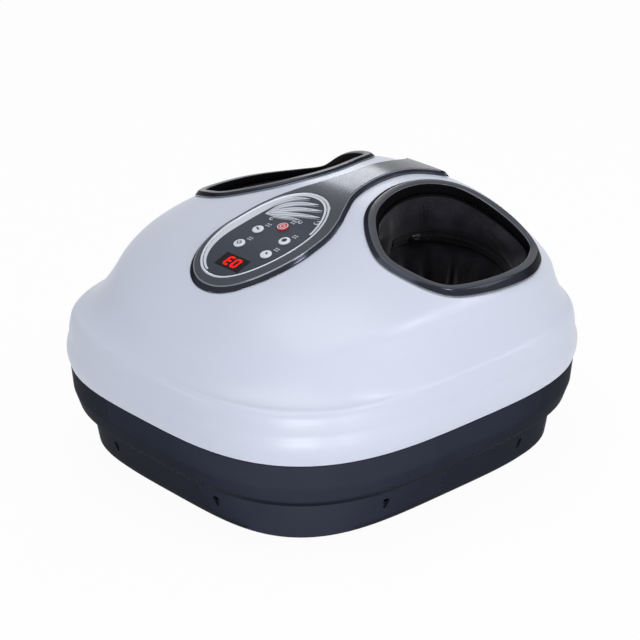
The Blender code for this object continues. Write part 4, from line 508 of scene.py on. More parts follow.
def cloud(tree, scale, detail=4.0):
    return add_node(tree, "ShaderNodeTexNoise", {
        "Vector": object_place(tree), "Scale": scale, "Detail": detail,
        "Roughness": CLOUD_ROUGHNESS,
    })


def ramp_between(tree, source, first, last):
    """Colours between two stops, each a place and a colour."""
    ramp = tree.nodes.new("ShaderNodeValToRGB")
    for element, (place, colour) in zip(ramp.color_ramp.elements, (first, last)):
        element.position = place
        element.color = (*colour, 1)
    tree.links.new(source, ramp.inputs["Fac"])
    return ramp.outputs["Color"]


def spread(tree, scale, low, high):
    """Noise between two values."""
    return add_node(tree, "ShaderNodeMapRange", {
        "Value": cloud(tree, scale), "To Min": low, "To Max": high,
    })


def bump(tree, height, strength, distance):
    return add_node(tree, "ShaderNodeBump", {
        "Height": height, "Strength": strength, "Distance": distance,
    })


def finish(name, colour, roughness, metallic=0.0, coat=0.0, sheen=0.0, level=0.5):
    made = bpy.data.materials.new(name)
    made.use_nodes = True
    shader = made.node_tree.nodes["Principled BSDF"]
    set_inputs(made.node_tree, shader, {
        "Base Color": (*colour, 1), "Roughness": roughness, "Metallic": metallic,
        "Specular IOR Level": level, "Coat Weight": coat, "Coat Roughness": COAT_ROUGHNESS,
        "Sheen Weight": sheen,
    })
    return made, made.node_tree, shader


def grained(name, colour, roughness, tone=None, gloss=None, grain=None, **basics):
    """A finish with noise in its tone, its gloss and its skin.

    A tone is the noise's scale and detail, how far it strays, and the places of the two tones.
    A gloss is a scale and two gains. A grain is a scale, a detail, a strength and a depth.
    """
    made, tree, shader = finish(name, colour, roughness, **basics)
    if tone:
        scale, detail, stray, low, high = tone
        darker, lighter = (
            tuple(min(channel * gain, 1) for channel in colour) for gain in (1 - stray, 1 + stray)
        )
        tones = ramp_between(tree, cloud(tree, scale, detail), (low, darker), (high, lighter))
        set_inputs(tree, shader, {"Base Color": tones})
    scale, low, high = gloss
    set_inputs(tree, shader, {"Roughness": spread(tree, scale, roughness * low, roughness * high)})
    if grain:
        scale, detail, strength, depth = grain
        skin_bump = bump(tree, cloud(tree, scale, detail), strength, depth)
        set_inputs(tree, shader, {"Normal": skin_bump})
    return made


def moulded(name, colour, roughness, depth=0.00002, tint=0.06, uneven=0.12, **basics):
    """Moulded plastic: a little mottling, uneven gloss and a fine skin."""
    return grained(name, colour, roughness, (14.0, 3.0, tint, 0.25, 0.75),
                   (60.0, 1 - uneven, 1 + uneven), (900.0, 2.0, 0.25, depth), **basics)


def satin(name, colour, roughness):
    """Dark satin moulding: its sheen fades at the edges and shows most where it faces the eye."""
    made = grained(name, colour, roughness, (20.0, 3.0, 0.06, 0.3, 0.7), (70.0, 0.92, 1.08),
                   (1100.0, 2.0, 0.12, 0.000008), metallic=0.75, level=0.1)
    shader = made.node_tree.nodes["Principled BSDF"]
    shader.inputs["Specular Tint"].default_value = (0, 0, 0, 1)
    return made


def lacquer(name, colour, roughness, flake=0.12, metallic=0.85, coat=0.3):
    """Metallic lacquer over plastic: fine flakes under a clear coat."""
    return grained(name, colour, roughness, (2600.0, 2.0, flake, 0.35, 0.65), (80.0, 0.85, 1.2),
                   metallic=metallic, coat=coat)


def brushed(name, colour, roughness):
    return grained(name, colour, roughness, gloss=(300.0, 0.7, 1.3),
                   grain=(700.0, 3.0, 0.15, 0.00002), metallic=1.0)


def woven(name, colour, light, nap):
    """Napped lining cloth: crossed slubs, soft nap and slow colour changes."""
    made, tree, shader = finish(name, colour, 0.9, sheen=nap, level=0.15)
    place = object_place(tree)
    threads = {}
    for index, stretch in enumerate(THREAD_STRETCHES):
        turned = add_node(tree, "ShaderNodeMapping", {"Vector": place, "Scale": stretch})
        threads[index] = add_node(tree, "ShaderNodeTexNoise", {
            "Vector": turned, "Scale": THREAD_SCALE, "Detail": 2.0,
        })
    weave = add_node(tree, "ShaderNodeMath", threads, "MULTIPLY")
    mixed = add_node(tree, "ShaderNodeMath", {0: weave, 1: 1.1, 2: cloud(tree, 45.0, 5.0)},
                     "MULTIPLY_ADD")
    set_inputs(tree, shader, {
        "Base Color": ramp_between(tree, mixed, (0.55, colour), (1.05, light)),
        "Normal": bump(tree, weave, 0.6, 0.0004), "Sheen Roughness": NAP_ROUGHNESS,
    })
    return made


def glowing(name, colour, strength):
    made, tree, shader = finish(name, colour, 0.6, level=0.0)
    set_inputs(tree, shader, {"Emission Color": (*colour, 1), "Emission Strength": strength})
    return made


FINISHES = {
    "white_gloss": moulded("shell_white", (0.615, 0.648, 0.752), 0.33, tint=0.003, depth=0.000004,
                           uneven=0.03),
    "black_gloss": satin("base_black", (0.036, 0.041, 0.060), 0.42),
    "gunmetal": lacquer("ring_gunmetal", (0.062, 0.067, 0.081), 0.34, coat=0.1),
    # Darker copy of the ring's and trim's lacquer for their bevels: painted shade.
    "painted_shade_bevel": satin("painted_shade_chamfer", (0.034, 0.037, 0.050), 0.15),
    # Lighter lacquer for the foot and crest rows of the ring and trim: painted highlight.
    "edge": lacquer("painted_highlight_lacquer", (0.21, 0.22, 0.25), 0.22),
    # Near-black for the ring's throat and the liner's top band: painted shade inside the opening.
    "painted_throat_shade": moulded("opening_painted_shade", (0.0015, 0.0015, 0.002), 0.7, level=0.03),
    "trim_metal": lacquer("trim_gunmetal", (0.058, 0.066, 0.086), 0.25, coat=0.1),
    "chrome": lacquer("bezel_silver", (0.60, 0.63, 0.70), 0.30, metallic=0.3, flake=0.03),
    "slate": moulded("face_slate", (0.027, 0.034, 0.052), 0.45, tint=0.05, level=0.2),
    "dark_fabric": woven("liner_cloth", (0.005, 0.005, 0.008), (0.017, 0.017, 0.023), 0.35),
    "tape": woven("zip_tape_cloth", (0.007, 0.007, 0.009), (0.022, 0.022, 0.027), 0.15),
    # Near-black cloth for the liner's seam bindings, and for the zip tape's edge strands as
    # painted shade.
    "binding_and_gap_shade": woven("seam_cloth_and_gap_shade", (0.002, 0.002, 0.003), (0.010, 0.010, 0.012), 0.1),
    "zip_metal": lacquer("zip_black", (0.11, 0.11, 0.125), 0.22, coat=0.5),
    "grey_plastic": moulded("inner_grey", (0.20, 0.21, 0.23), 0.5),
    "steel": brushed("bright_steel", (0.52, 0.52, 0.55), 0.28),
    "black_rubber": moulded("foot_rubber", (0.02, 0.02, 0.021), 0.8, tint=0.15, level=0.2),
    "board_green": moulded("board_green", (0.02, 0.14, 0.06), 0.45),
    "smoked_lens": moulded("display_smoke", (0.003, 0.002, 0.003), 0.18, depth=0.000002,
                           level=0.12),
    "red_gloss": moulded("button_red", (0.62, 0.012, 0.020), 0.28, tint=0.03, level=0.3),
    "button_white": moulded("button_white", (0.70, 0.73, 0.79), 0.30, tint=0.02),
    "gear_nylon": moulded("gear_nylon", (0.8, 0.78, 0.7), 0.5),
    "bag_vinyl": moulded("bag_vinyl", (0.25, 0.27, 0.30), 0.4),
    "clear_hose": moulded("hose_grey", (0.45, 0.47, 0.5), 0.3, coat=0.2),
    "module_red": moulded("module_red", (0.3, 0.01, 0.01), 0.35),
    "print_silver": lacquer("print_silver", (0.60, 0.63, 0.70), 0.34, metallic=0.2, flake=0.05),
    "print_grey": lacquer("print_grey", (0.24, 0.26, 0.31), 0.38, metallic=0.3),
    "print_pale": moulded("print_pale", (0.42, 0.45, 0.51), 0.5, depth=0.000002, level=0.2),
    "print_dark": moulded("print_dark", (0.022, 0.026, 0.036), 0.5, depth=0.000002, level=0.2),
    "digit_red": glowing("digit_red", (1.0, 0.012, 0.006), 1.2),
}


# Casing

def casing_row(inset, z, power=PLAN_POWER):
    return [
        (*oval_point(angle, HALF_WIDTH - inset, HALF_DEPTH - inset, power), z)
        for angle in angles(CASING_COLUMNS)
    ]


def crease_row(share):
    row = []
    for angle in angles(CASING_COLUMNS):
        reach = PAD_REAR if sin(angle) > 0 else PAD_FRONT
        radius = oval_radius(angle, PAD_HALF_WIDTH, reach, PAD_POWER) * share
        x = radius * cos(angle)
        y = PAD_CENTRE_Y + radius * sin(angle)
        row.append((x, y, crease_z(y) if share == 1 else pad_z(x, y)))
    return row


def blend_rows(outer, inner, share, power):
    row = []
    for start, end in zip(outer, inner):
        x, y, _ = between(start, end, share)
        row.append((x, y, start[2] + (end[2] - start[2]) * share ** power))
    return row


SOFTENING_PASSES = 6
SHOULDER_SPREAD = 1.7
CREASE_SPREAD = 1.1
CREASE_SOFTNESS = 0.5


def soften_rows(rows, softness):
    """Average each row with its neighbours, by a softness from 0 to 1 given for each row."""
    for _ in range(SOFTENING_PASSES):
        eased = [rows[0]]
        for before, row, after, amount in zip(rows, rows[1:], rows[2:], softness[1:]):
            eased.append([
                tuple(m + ((a + b) / 2 - m) * amount for a, m, b in zip(p, q, r))
                for p, q, r in zip(before, row, after)
            ])
        rows = eased + rows[-1:]
    return rows


def shell_rows():
    """Rows of the shell from its rim up: wall, shoulder, hollow band and pad."""
    wall, roll, band, pad = 12, 12, 24, 44
    rows = []
    for share in shares(wall):
        z = SHELL_RIM_Z + (SHOULDER_LOW_Z - SHELL_RIM_Z) * share
        rows.append(casing_row(-WALL_BULGE * sin(pi * share), z))
    for share in shares(roll):
        z = SHOULDER_LOW_Z + (SHOULDER_Z - SHOULDER_LOW_Z) * share
        rows.append(casing_row(SHOULDER_INSET * share ** 2, z))
    shoulder = casing_row(SHOULDER_INSET, SHOULDER_Z)
    crease = crease_row(1)
    rows += [shoulder] + [
        blend_rows(shoulder, crease, share, BAND_CURVE_POWER) for share in shares(band)[1:]
    ]
    rows += [crease_row(1 - share) for share in shares(pad)]
    softness = []
    for index in range(len(rows)):
        near_shoulder = exp(-((index - wall - roll) / SHOULDER_SPREAD) ** 2)
        near_crease = exp(-((index - wall - roll - band) / CREASE_SPREAD) ** 2)
        softness.append(min(1, near_shoulder + CREASE_SOFTNESS * near_crease))
    return soften_rows(rows, softness)


def top_shell():
    top = (0, PAD_CENTRE_Y, pad_z(0, PAD_CENTRE_Y))
    shell = show("shell_skin", skin("shell_skin", shell_rows(), last_point=top), "white_gloss",
                 stands_for=["top_shell"], slot="white_gloss")
    thicken(shell, SHELL_WALL)
    outlines = [
        [ring_point(share, SHELL_HOLE_INSET, side) for share in shares(OUTLINE_COLUMNS)]
        for side in (1, -1)
    ]
    outlines.append(bezel_outline(CONSOLE_HOLE_MARGIN))
    carve(shell, [dome_hole(outline) for outline in outlines], 45)


def lower_wall_inset(z):
    low = FOOT_STAND + BOTTOM_EDGE_RISE
    return BOTTOM_EDGE_INSET + (STEP_INNER_INSET - BOTTOM_EDGE_INSET) * (z - low) / (STEP_Z - low)


def base_profile():
    """Outer profile from the bottom up: inset, height and the plan's power."""
    corners = [
        (BOTTOM_INSET, FOOT_STAND, BOTTOM_POWER),
        (BOTTOM_EDGE_INSET, FOOT_STAND + BOTTOM_EDGE_RISE, BOTTOM_POWER),
        (STEP_INNER_INSET, STEP_Z, PLAN_POWER),
        (STEP_OUTER_INSET, STEP_Z, PLAN_POWER),
        (ROLL_INSET, BASE_ROLL_Z, PLAN_POWER),
        (BAND_INSET, BASE_BAND_Z, PLAN_POWER),
        (0, BASE_RIM_Z, PLAN_POWER),
    ]
    dense = []
    for a, b in zip(corners, corners[1:]):
        dense += [between(a, b, share) for share in shares(6)]
    dense.append(corners[-1])
    return dense


SLOT_RADIUS = 0.0040
SLOT_DEPTH = 0.0026
SLOT_LENGTH = 0.0130
SLOT_Z = FOOT_STAND + 0.0230
SIDE_SLOT_Y = 0.0900
FRONT_SLOT_X = 0.0750


def side_slot_places():
    """Places and outward directions of the slots, two on each side."""
    inset = lower_wall_inset(SLOT_Z)
    half_x, half_y = HALF_WIDTH - inset, HALF_DEPTH - inset
    power = (PLAN_POWER + BOTTOM_POWER) / 2
    reach_x = half_x * (1 - (SIDE_SLOT_Y / half_y) ** power) ** (1 / power)
    reach_y = half_y * (1 - (FRONT_SLOT_X / half_x) ** power) ** (1 / power)
    places = []
    for sign in (1, -1):
        for turn in (1, -1):
            places.append(((sign * reach_x, turn * SIDE_SLOT_Y, SLOT_Z), (sign, 0, 0)))
            places.append(((turn * FRONT_SLOT_X, sign * reach_y, SLOT_Z), (0, sign, 0)))
    return [(Vector(place), Vector(outward)) for place, outward in places]


def side_slot_mesh(place, outward):
    half = Vector((0, 0, SLOT_LENGTH / 2 - SLOT_RADIUS))
    across = Vector((outward.y, -outward.x, 0))
    outline = []
    for angle in angles(32):
        upper = sin(angle) >= 0
        centre = place + half if upper else place - half
        x, z, _ = polar(SLOT_RADIUS if upper else SLOT_RADIUS / 2, angle)
        outline.append(centre + across * x + Vector((0, 0, z)))
    rows = [[point + outward * depth for point in outline] for depth in (-SLOT_DEPTH, CUT_OVERRUN)]
    return skin("slot", rows, place - outward * SLOT_DEPTH, place + outward * CUT_OVERRUN)


def inlet_cut_mesh():
    low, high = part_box("mains_inlet")
    size = [b - a + 2 * SEAT_GAP for a, b in zip(low, high)]
    size[1] += 2 * CUT_OVERRUN
    work = bmesh.new()
    add_box(work, size, between(low, high, 0.5))
    return mesh_from("inlet_cut", work)


def base_skin():
    outer = [casing_row(*row) for row in base_profile()]
    inner = [casing_row(inset + BASE_WALL, max(z, FOOT_STAND + BASE_WALL), power)
             for inset, z, power in reversed(base_profile())]
    mesh = skin("base_skin", outer + inner, (0, 0, FOOT_STAND), (0, 0, FOOT_STAND + BASE_WALL))
    base = show("base_skin", mesh, "black_gloss", stands_for=["base_tub"], slot="black_gloss")
    holes = [side_slot_mesh(*place) for place in side_slot_places()] + [inlet_cut_mesh()]
    carve(base, holes, 35, "EXACT")


# Openings

OPENING_OUTLINE = [
    (OPENING_X + x * OPENING_HALF_WIDTH, OPENING_Y + y * OPENING_HALF_DEPTH)
    for x, y in OPENING_OUTLINE_SHARES
]
OUTLINE_STEP = 0.004
# The ring's foot rows on its outer side, up to these limits, take a lighter lacquer as painted
# highlight; its rows inside the shell's hole, low down, take near-black as painted shade.
RING_EDGE_ZONE = 0.0006
RING_HIGHLIGHT_HEIGHT = 0.0014


def ring_point(share, inset, side):
    """Point of an opening's outline, which runs clockwise, moved inwards."""
    before, point, after = (
        closed_curve_point(OPENING_OUTLINE, share + step * OUTLINE_STEP) for step in (-1, 0, 1)
    )
    x, y = beside(point, direction(before, after), -inset)
    return side * x, y


def ring_rise(share):
    """Rise of the crest over the dome, most at the outer side and the rear."""
    x, y = ring_point(share, 0, 1)
    angle = atan2(y - OPENING_Y, x - OPENING_X)
    return RING_RISE + RING_SIDE_GAIN * cos(angle) + RING_REAR_GAIN * sin(angle)


def opening_ring(word, side):
    """Section points are inset, share of the crest's rise, and height over that."""
    section = rounded([
        (0, 0, COVER_GAP), (0, 0, COVER_GAP * 2),
        (RING_EDGE_INSET, 1, -RING_EDGE_DROP),
        (RING_CREST_INSET, 1, 0),
        (RING_FLANGE_INSET, 0, RING_FLANGE_RISE),
        (THROAT_INSET, 0, -THROAT_TOP_DEPTH),
        (THROAT_FOOT_INSET, 0, -THROAT_DEPTH),
        (THROAT_FOOT_INSET - THROAT_WALL, 0, -THROAT_DEPTH),
        (SHELL_HOLE_INSET + THROAT_SHELL_CLEARANCE, 0, COVER_GAP),
    ], 2)
    rows = []
    for inset, lift, rise in section:
        row = []
        for share in shares(RING_COLUMNS):
            x, y = ring_point(share, inset, side)
            row.append(on_pad(x, y, lift * ring_rise(share) + rise))
        rows.append(row)
    name = "opening_ring_" + word
    ring = show("ring_" + word, skin(name, rows, loop_rows=True), "gunmetal", "painted_shade_bevel", "painted_throat_shade",
                "edge", stands_for=[name], slot="gunmetal")
    # Faces by row: gunmetal flange, a darker copy on the outer bevel as painted shade, near-black
    # on the throat and hole side as painted shade, a lighter copy on the foot row as painted
    # highlight.
    kinds = []
    for a, b in zip(section, section[1:] + section[:1]):
        inset, lift, rise = between(a, b, 0.5)
        height = rise + RING_RISE * lift
        low = inset > SHELL_HOLE_INSET and height < RING_EDGE_ZONE
        lip = inset < RING_EDGE_ZONE and height < RING_HIGHLIGHT_HEIGHT
        kinds.append(2 if low else 3 if lip else 1 if inset < RING_CREST_INSET else 0)
    for face in ring.data.polygons:
        face.material_index = kinds[face.index // RING_COLUMNS]


# Liners and zips

def zip_point(angle, radius, lift, side):
    across = Vector((cos(ZIP_TILT), 0, -sin(ZIP_TILT)))
    axis = Vector((sin(ZIP_TILT), 0, cos(ZIP_TILT)))
    run, depth, _ = polar(radius, angle)
    point = Vector((ZIP_X, ZIP_Y + depth, ZIP_Z)) + across * run + axis * lift
    return Vector((side * point.x, point.y, point.z))


def zip_reach(angle):
    share = (-sin(angle) - ZIP_ROUND_SHARE) / (1 - ZIP_ROUND_SHARE)
    return ZIP_RADIUS + ZIP_FRONT_REACH * ease(share)


def sock_point(angle, room, side):
    inner_x, outer_x, front_y, rear_y, z = room
    half_x = (outer_x - inner_x) / 2
    half_y = rear_y - ZIP_Y if sin(angle) > 0 else ZIP_Y - front_y
    radius = oval_radius(angle, half_x, half_y, LINER_PLAN_POWER)
    x = (outer_x + inner_x) / 2 + radius * cos(angle)
    return Vector((side * x, ZIP_Y + radius * sin(angle), z))


# Each fold: direction in degrees, slant, half width, depth and the level where it starts
FOLDS = (
    (98, 16, 9, 0.0072, 0.42), (119, -12, 6, 0.0090, 0.44), (134, 8, 5, 0.0107, 0.45),
    (147, -10, 6, 0.0072, 0.43), (163, 12, 8, 0.0064, 0.47), (190, -10, 9, 0.0058, 0.44),
    (222, 14, 11, 0.0067, 0.42), (258, -8, 10, 0.0058, 0.45), (296, 10, 12, 0.0061, 0.44),
    (332, -12, 10, 0.0067, 0.43), (8, 10, 9, 0.0067, 0.45), (44, -10, 9, 0.0072, 0.44),
    (74, 8, 7, 0.0064, 0.46),
)
POCKET_STEP = 0.0024
BULGE = 0.0026
BULGE_END = 0.2
FOLD_GAIN = 1.7
LINER_STEPS = 12
LINER_ROWS = 5 * LINER_STEPS
MOUTH_SEAM = 159
WALL_SEAM = 103
STITCH_AWAY = 3.4
STITCH_SHARE = 0.6
STITCH_RADIUS = 0.0003
SEAM_LIFT = 0.0002


def turn_from(heading, other):
    """Turn between two directions in degrees, from -180 to 180."""
    return (heading - other + 180) % 360 - 180


def pocket_edge(level):
    """Direction in degrees where the toe pocket's panel begins."""
    return 204 - 52 * ease((level - 0.44) / 0.24)


def fold_depth(angle, level, side):
    """How far the cloth hangs in from its fullest form, by direction and level."""
    heading = degrees(angle) % 360
    place = Vector((3 * cos(angle), 3 * sin(angle), 5 * level + side))
    if level < BULGE_END:
        ripple = 1 + 0.45 * sin(5 * angle + 9 * level) + 0.6 * noise.noise(place * 1.3)
        return BULGE * sin(pi * level / BULGE_END) * ripple
    depth = 0.0016 + 0.0016 * noise.noise(place) + 0.0007 * noise.noise(place * 2.7)
    for middle, slant, width, deep, start in FOLDS:
        away = turn_from(heading, middle + slant * (level - start) * 2)
        depth += FOLD_GAIN * deep * ease((level - start + 0.03) / 0.05) * exp(-(away / width) ** 2)
    if 100 < heading < 300:
        inside = ease((heading - pocket_edge(level)) / 3) * ease((level - 0.45) / 0.05)
        depth += POCKET_STEP * inside * (1 - ease((heading - 230) / 60))
    return depth


def liner_stops(angle, mouth, side):
    return [
        (mouth, 0), (zip_point(angle, zip_reach(angle), ZIP_BAND, side), 0),
        (zip_point(angle, zip_reach(angle), -ZIP_BAND, side), 0.15),
        (sock_point(angle, BELLY, side), 1), (sock_point(angle, LOW, side), 1),
        (sock_point(angle, SOLE, side), 0.2),
    ]


def foot_liner(word, side):
    columns = []
    turns = []
    for share in shares(LINER_COLUMNS):
        x, y = ring_point(share, THROAT_FOOT_INSET - THROAT_WALL / 2, 1)
        mouth = Vector((side * x, y, pad_z(x, y) - THROAT_DEPTH - COVER_GAP - SEAT_GAP))
        angle = atan2(y - ZIP_Y, x - ZIP_X)
        turns.append(degrees(angle))
        columns.append(liner_column(liner_stops(angle, mouth, side), angle, side))
    rows = [list(row) for row in zip(*columns)]
    middle = Vector((side * (SOLE[0] + SOLE[1]) / 2, (SOLE[2] + SOLE[3]) / 2, SOLE[4]))
    rows += [[point.lerp(middle, share) for point in rows[-1]] for share in shares(4)[1:]]
    name = "foot_liner_" + word
    liner = show("liner_" + word, skin(name, rows, last_point=middle), "dark_fabric", "painted_throat_shade",
                 stands_for=[name], slot="dark_fabric")
    # The top band of faces under the ring's throat takes near-black: painted shade.
    for face in liner.data.polygons:
        face.material_index = 1 if face.index < LINER_COLUMNS else 0
    face_outward(liner.data, middle)
    thicken(liner, LINER_WALL)

    def on_cloth(heading, row):
        index = min(range(LINER_COLUMNS), key=lambda k: abs(turn_from(turns[k], heading)))
        place = columns[index][row]
        centre = Vector((side * ZIP_X, ZIP_Y, place.z))
        return place + (centre - place).normalized() * (LINER_WALL + SEAM_LIFT)

    work = bmesh.new()
    tube(work, [on_cloth(MOUTH_SEAM, row) for row in range(3, 11)], 0.0006)
    tube(work, [on_cloth(WALL_SEAM, row) for row in range(27, 42)], 0.0005)
    tube(work, [on_cloth(pocket_edge(row / LINER_ROWS), row) for row in range(27, 50)], 0.0007)
    for away in (-STITCH_AWAY, STITCH_AWAY):
        for row in range(4, 11):
            start, end = (on_cloth(MOUTH_SEAM + away, row + step) for step in (0, 1))
            tube(work, [start, start.lerp(end, STITCH_SHARE)], STITCH_RADIUS)
    seams = show("liner_seams_" + word, mesh_from("liner_seams", work), "binding_and_gap_shade",
                 slot="dark_fabric")


def face_outward(mesh, middle):
    """Turn an open sack's faces away from its middle."""
    if sum(face.normal.dot(face.center - middle) for face in mesh.polygons) < 0:
        mesh.flip_normals()


def liner_column(levels, angle, side):
    """One run of cloth from the mouth to the sole, folded between its levels."""
    column = []
    spans = len(levels) - 1
    for index, ((start, hold), (end, next_hold)) in enumerate(zip(levels, levels[1:])):
        for share in stops(LINER_STEPS) if index == spans - 1 else shares(LINER_STEPS):
            point = start.lerp(end, share)
            amount = hold + (next_hold - hold) * share if index else sin(pi * share)
            inward = (Vector((side * ZIP_X, ZIP_Y, point.z)) - point).normalized()
            depth = fold_depth(angle, (index + share) / spans, side)
            column.append(point + inward * depth * amount)
    return column


TOOTH_COUNT = 120
TOOTH_LIFT = 0.0004
TOOTH_SINK = 0.0002
TOOTH_SIZE = (0.0005, 0.0011, 0.0022)
GAP_SHADE_RADIUS = 0.0004


def zip_tape(word, side):
    """Cloth tape with two rows of moulded teeth along its middle, and near-black strands along its
    edges as painted shade.
    """
    outer = ZIP_RADIUS - LINER_WALL - TAPE_LINER_GAP
    inner = outer - TAPE_WALL
    half = TAPE_WIDTH / 2

    def on_tape(share, radius, lift):
        return zip_point(TAPE_START + (TAPE_END - TAPE_START) * share, radius, lift, side)

    section = ((outer, half), (outer, -half), (inner, -half), (inner, half))
    rows = [[on_tape(share, *corner) for corner in section] for share in stops(120)]
    name = "zip_tape_" + word
    ends = [sum(row, Vector()) / len(section) for row in (rows[0], rows[-1])]
    tape = show("tape_" + word, skin(name, rows, *ends), "tape", stands_for=[name],
                slot="dark_fabric")
    sharpen(tape, 40)
    work = bmesh.new()
    axis = Vector((side * sin(ZIP_TILT), 0, cos(ZIP_TILT)))
    for index in range(TOOTH_COUNT):
        share = (index + 0.5) / TOOTH_COUNT
        place = on_tape(share, inner - TOOTH_SINK, TOOTH_LIFT if index % 2 else -TOOTH_LIFT)
        inward = (on_tape(share, 0, 0) - place).normalized()
        add_box(work, TOOTH_SIZE, place, (inward, axis.cross(inward), axis))
    teeth = show("zip_teeth_" + word, mesh_from("zip_teeth", work), "tape", slot="dark_fabric")
    # Near-black strands along both edges of the tape: painted shade for the gaps beside it.
    work = bmesh.new()
    for lift in (half, -half):
        tube(work, [on_tape(share, inner, lift) for share in stops(90)], GAP_SHADE_RADIUS)
    gap_shade_strands = show("zip_gap_shade_" + word, mesh_from("zip_gap_shade", work), "binding_and_gap_shade", slot="dark_fabric")


# Console

TRIM_HEAD_SHARE = 0.4
TRIM_SECTION = [
    (0, COVER_GAP), (0, COVER_GAP), (0.0002, 0.0014), (0.0020, 0.0030), (0.0036, 0.0045),
    (0.0042, TRIM_HEIGHT), (0.0052, TRIM_HEIGHT),
]
# The trim's foot row and crest row take a lighter lacquer as painted highlight; its bevel rows
# take a darker copy as painted shade.
TRIM_LIP = 0.0001
TRIM_BEVEL_END = 0.0036
TRIM_HIGHLIGHT_END = 0.0043
TRIM_TOP_ROWS = 16


def trim_half_width(y):
    if y <= TRIM_HEAD_Y:
        share = min((TRIM_HEAD_Y - y) / (TRIM_HEAD_Y - TRIM_FRONT_Y), 1)
        return TRIM_HEAD_HALF * max(1 - share ** TRIM_HEAD_POWER, 0) ** (1 / TRIM_HEAD_POWER)
    share = (y - TRIM_HEAD_Y) / (TRIM_REAR_Y - TRIM_HEAD_Y)
    return TRIM_HEAD_HALF * smooth_value(TRIM_NECK_SHARES, share)


def trim_outline(count):
    """The racket's outline, from the front tip up the right side and back down the left."""
    right = []
    for share in stops(count):
        if share < TRIM_HEAD_SHARE:
            turn = pi / 2 * share / TRIM_HEAD_SHARE
            y = TRIM_HEAD_Y - (TRIM_HEAD_Y - TRIM_FRONT_Y) * cos(turn)
        else:
            away = (share - TRIM_HEAD_SHARE) / (1 - TRIM_HEAD_SHARE)
            y = TRIM_HEAD_Y + (TRIM_REAR_Y - TRIM_HEAD_Y) * away
        right.append((trim_half_width(y), y))
    left = [(-x, y) for x, y in reversed(right[1:])]
    return right + line(right[-1], left[0], 12)[1:-1] + left


def inset_outline(outline, inset):
    """Move a closed outline inwards, holding corners in by their bisectors."""
    return [
        beside(point, direction(before, after), inset)
        for before, point, after in zip(outline[-1:] + outline, outline, outline[1:] + outline[:1])
    ]


def console_trim():
    section = rounded(TRIM_SECTION, 1, closed=False)
    outline = trim_outline(90)
    rows = [
        [on_pad(x, y, rise) for x, y in inset_outline(outline, inset)] for inset, rise in section
    ]
    inner = rows[-1]
    for share in stops(TRIM_TOP_ROWS)[1:]:
        rows.append([on_pad(point.x * (1 - share), point.y, TRIM_HEIGHT) for point in inner])
    insets = [inset for inset, _ in section] + [1] * TRIM_TOP_ROWS
    work = bmesh.new()
    add_loft(work, rows)
    # Faces by row: trim lacquer on the top, a darker copy on the bevel as painted shade, a lighter
    # copy on the foot and crest rows as painted highlight.
    for index, face in enumerate(work.faces):
        inset = insets[1 + index // len(outline)]
        lip = inset < TRIM_LIP or TRIM_BEVEL_END <= inset < TRIM_HIGHLIGHT_END
        face.material_index = 2 if lip else 1 if inset < TRIM_BEVEL_END else 0
    bmesh.ops.remove_doubles(work, verts=work.verts, dist=0.00001)
    bmesh.ops.dissolve_degenerate(work, edges=work.edges, dist=0.00001)
    trim = show("trim_skin", mesh_from("trim_skin", work), "trim_metal", "painted_shade_bevel", "edge",
                stands_for=["console_trim"], slot="gunmetal")
    carve(trim, [dome_hole(bezel_outline(-CONSOLE_GAP))], 50, "EXACT")


def bezel_point(angle, inset):
    return oval_point(angle, BEZEL_HALF_WIDTH - inset, BEZEL_HALF_LENGTH - inset, BEZEL_POWER,
                      BEZEL_X, BEZEL_Y)


def bezel_outline(inset):
    return [bezel_point(angle, inset) for angle in angles(OUTLINE_COLUMNS)]


def console_bezel():
    section = rounded([
        (0, COVER_GAP), (0, BEZEL_HEIGHT - BEZEL_WIDTH / 4), (BEZEL_WIDTH / 4, BEZEL_HEIGHT),
        (BEZEL_WIDTH, FACE_HEIGHT), (BEZEL_WIDTH, COVER_GAP),
    ], 2)
    rows = [[on_pad(x, y, rise) for x, y in bezel_outline(inset)] for inset, rise in section]
    show("bezel_skin", skin("bezel_skin", rows, loop_rows=True), "chrome",
         stands_for=["console_bezel"], slot="chrome")


def console_face():
    middle = (BEZEL_X, BEZEL_Y)
    outline = bezel_outline(BEZEL_WIDTH + CONSOLE_GAP)
    steps = [(share, COVER_GAP) for share in stops(12)[1:]]
    steps += [(share, FACE_HEIGHT) for share, _ in reversed(steps)]
    rows = [[on_pad(*between(middle, point, share), rise) for point in outline]
            for share, rise in steps]
    mesh = skin("face_skin", rows, on_pad(*middle, COVER_GAP), on_pad(*middle, FACE_HEIGHT))
    face = show("face_skin", mesh, "slate", stands_for=["console_face"], slot="slate")
    holes = []
    for x, y in BUTTON_PLACES.values():
        normal = pad_normal(x, y)
        base = on_pad(x, y, 0)
        holes.append(rod_mesh(BUTTON_RADIUS + BUTTON_GAP, base - normal * CUT_OVERRUN,
                              base + normal * (FACE_HEIGHT + CUT_OVERRUN)))
    holes.append(display_hole(-CUT_OVERRUN, FACE_HEIGHT + CUT_OVERRUN))
    carve(face, holes, 45)


def display_axes():
    normal = pad_normal(DISPLAY_X, DISPLAY_Y)
    across = Vector((1, 0, 0))
    across = (across - normal * across.dot(normal)).normalized()
    return across, normal.cross(across), normal


def display_hole(low, high):
    axes = display_axes()
    centre = on_pad(DISPLAY_X, DISPLAY_Y, 0) + axes[2] * (low + high) / 2
    size = (DISPLAY_WIDTH + 2 * SEAT_GAP, DISPLAY_LENGTH + 2 * SEAT_GAP, high - low)
    work = bmesh.new()
    add_box(work, size, centre, axes)
    return mesh_from("display_hole", work)


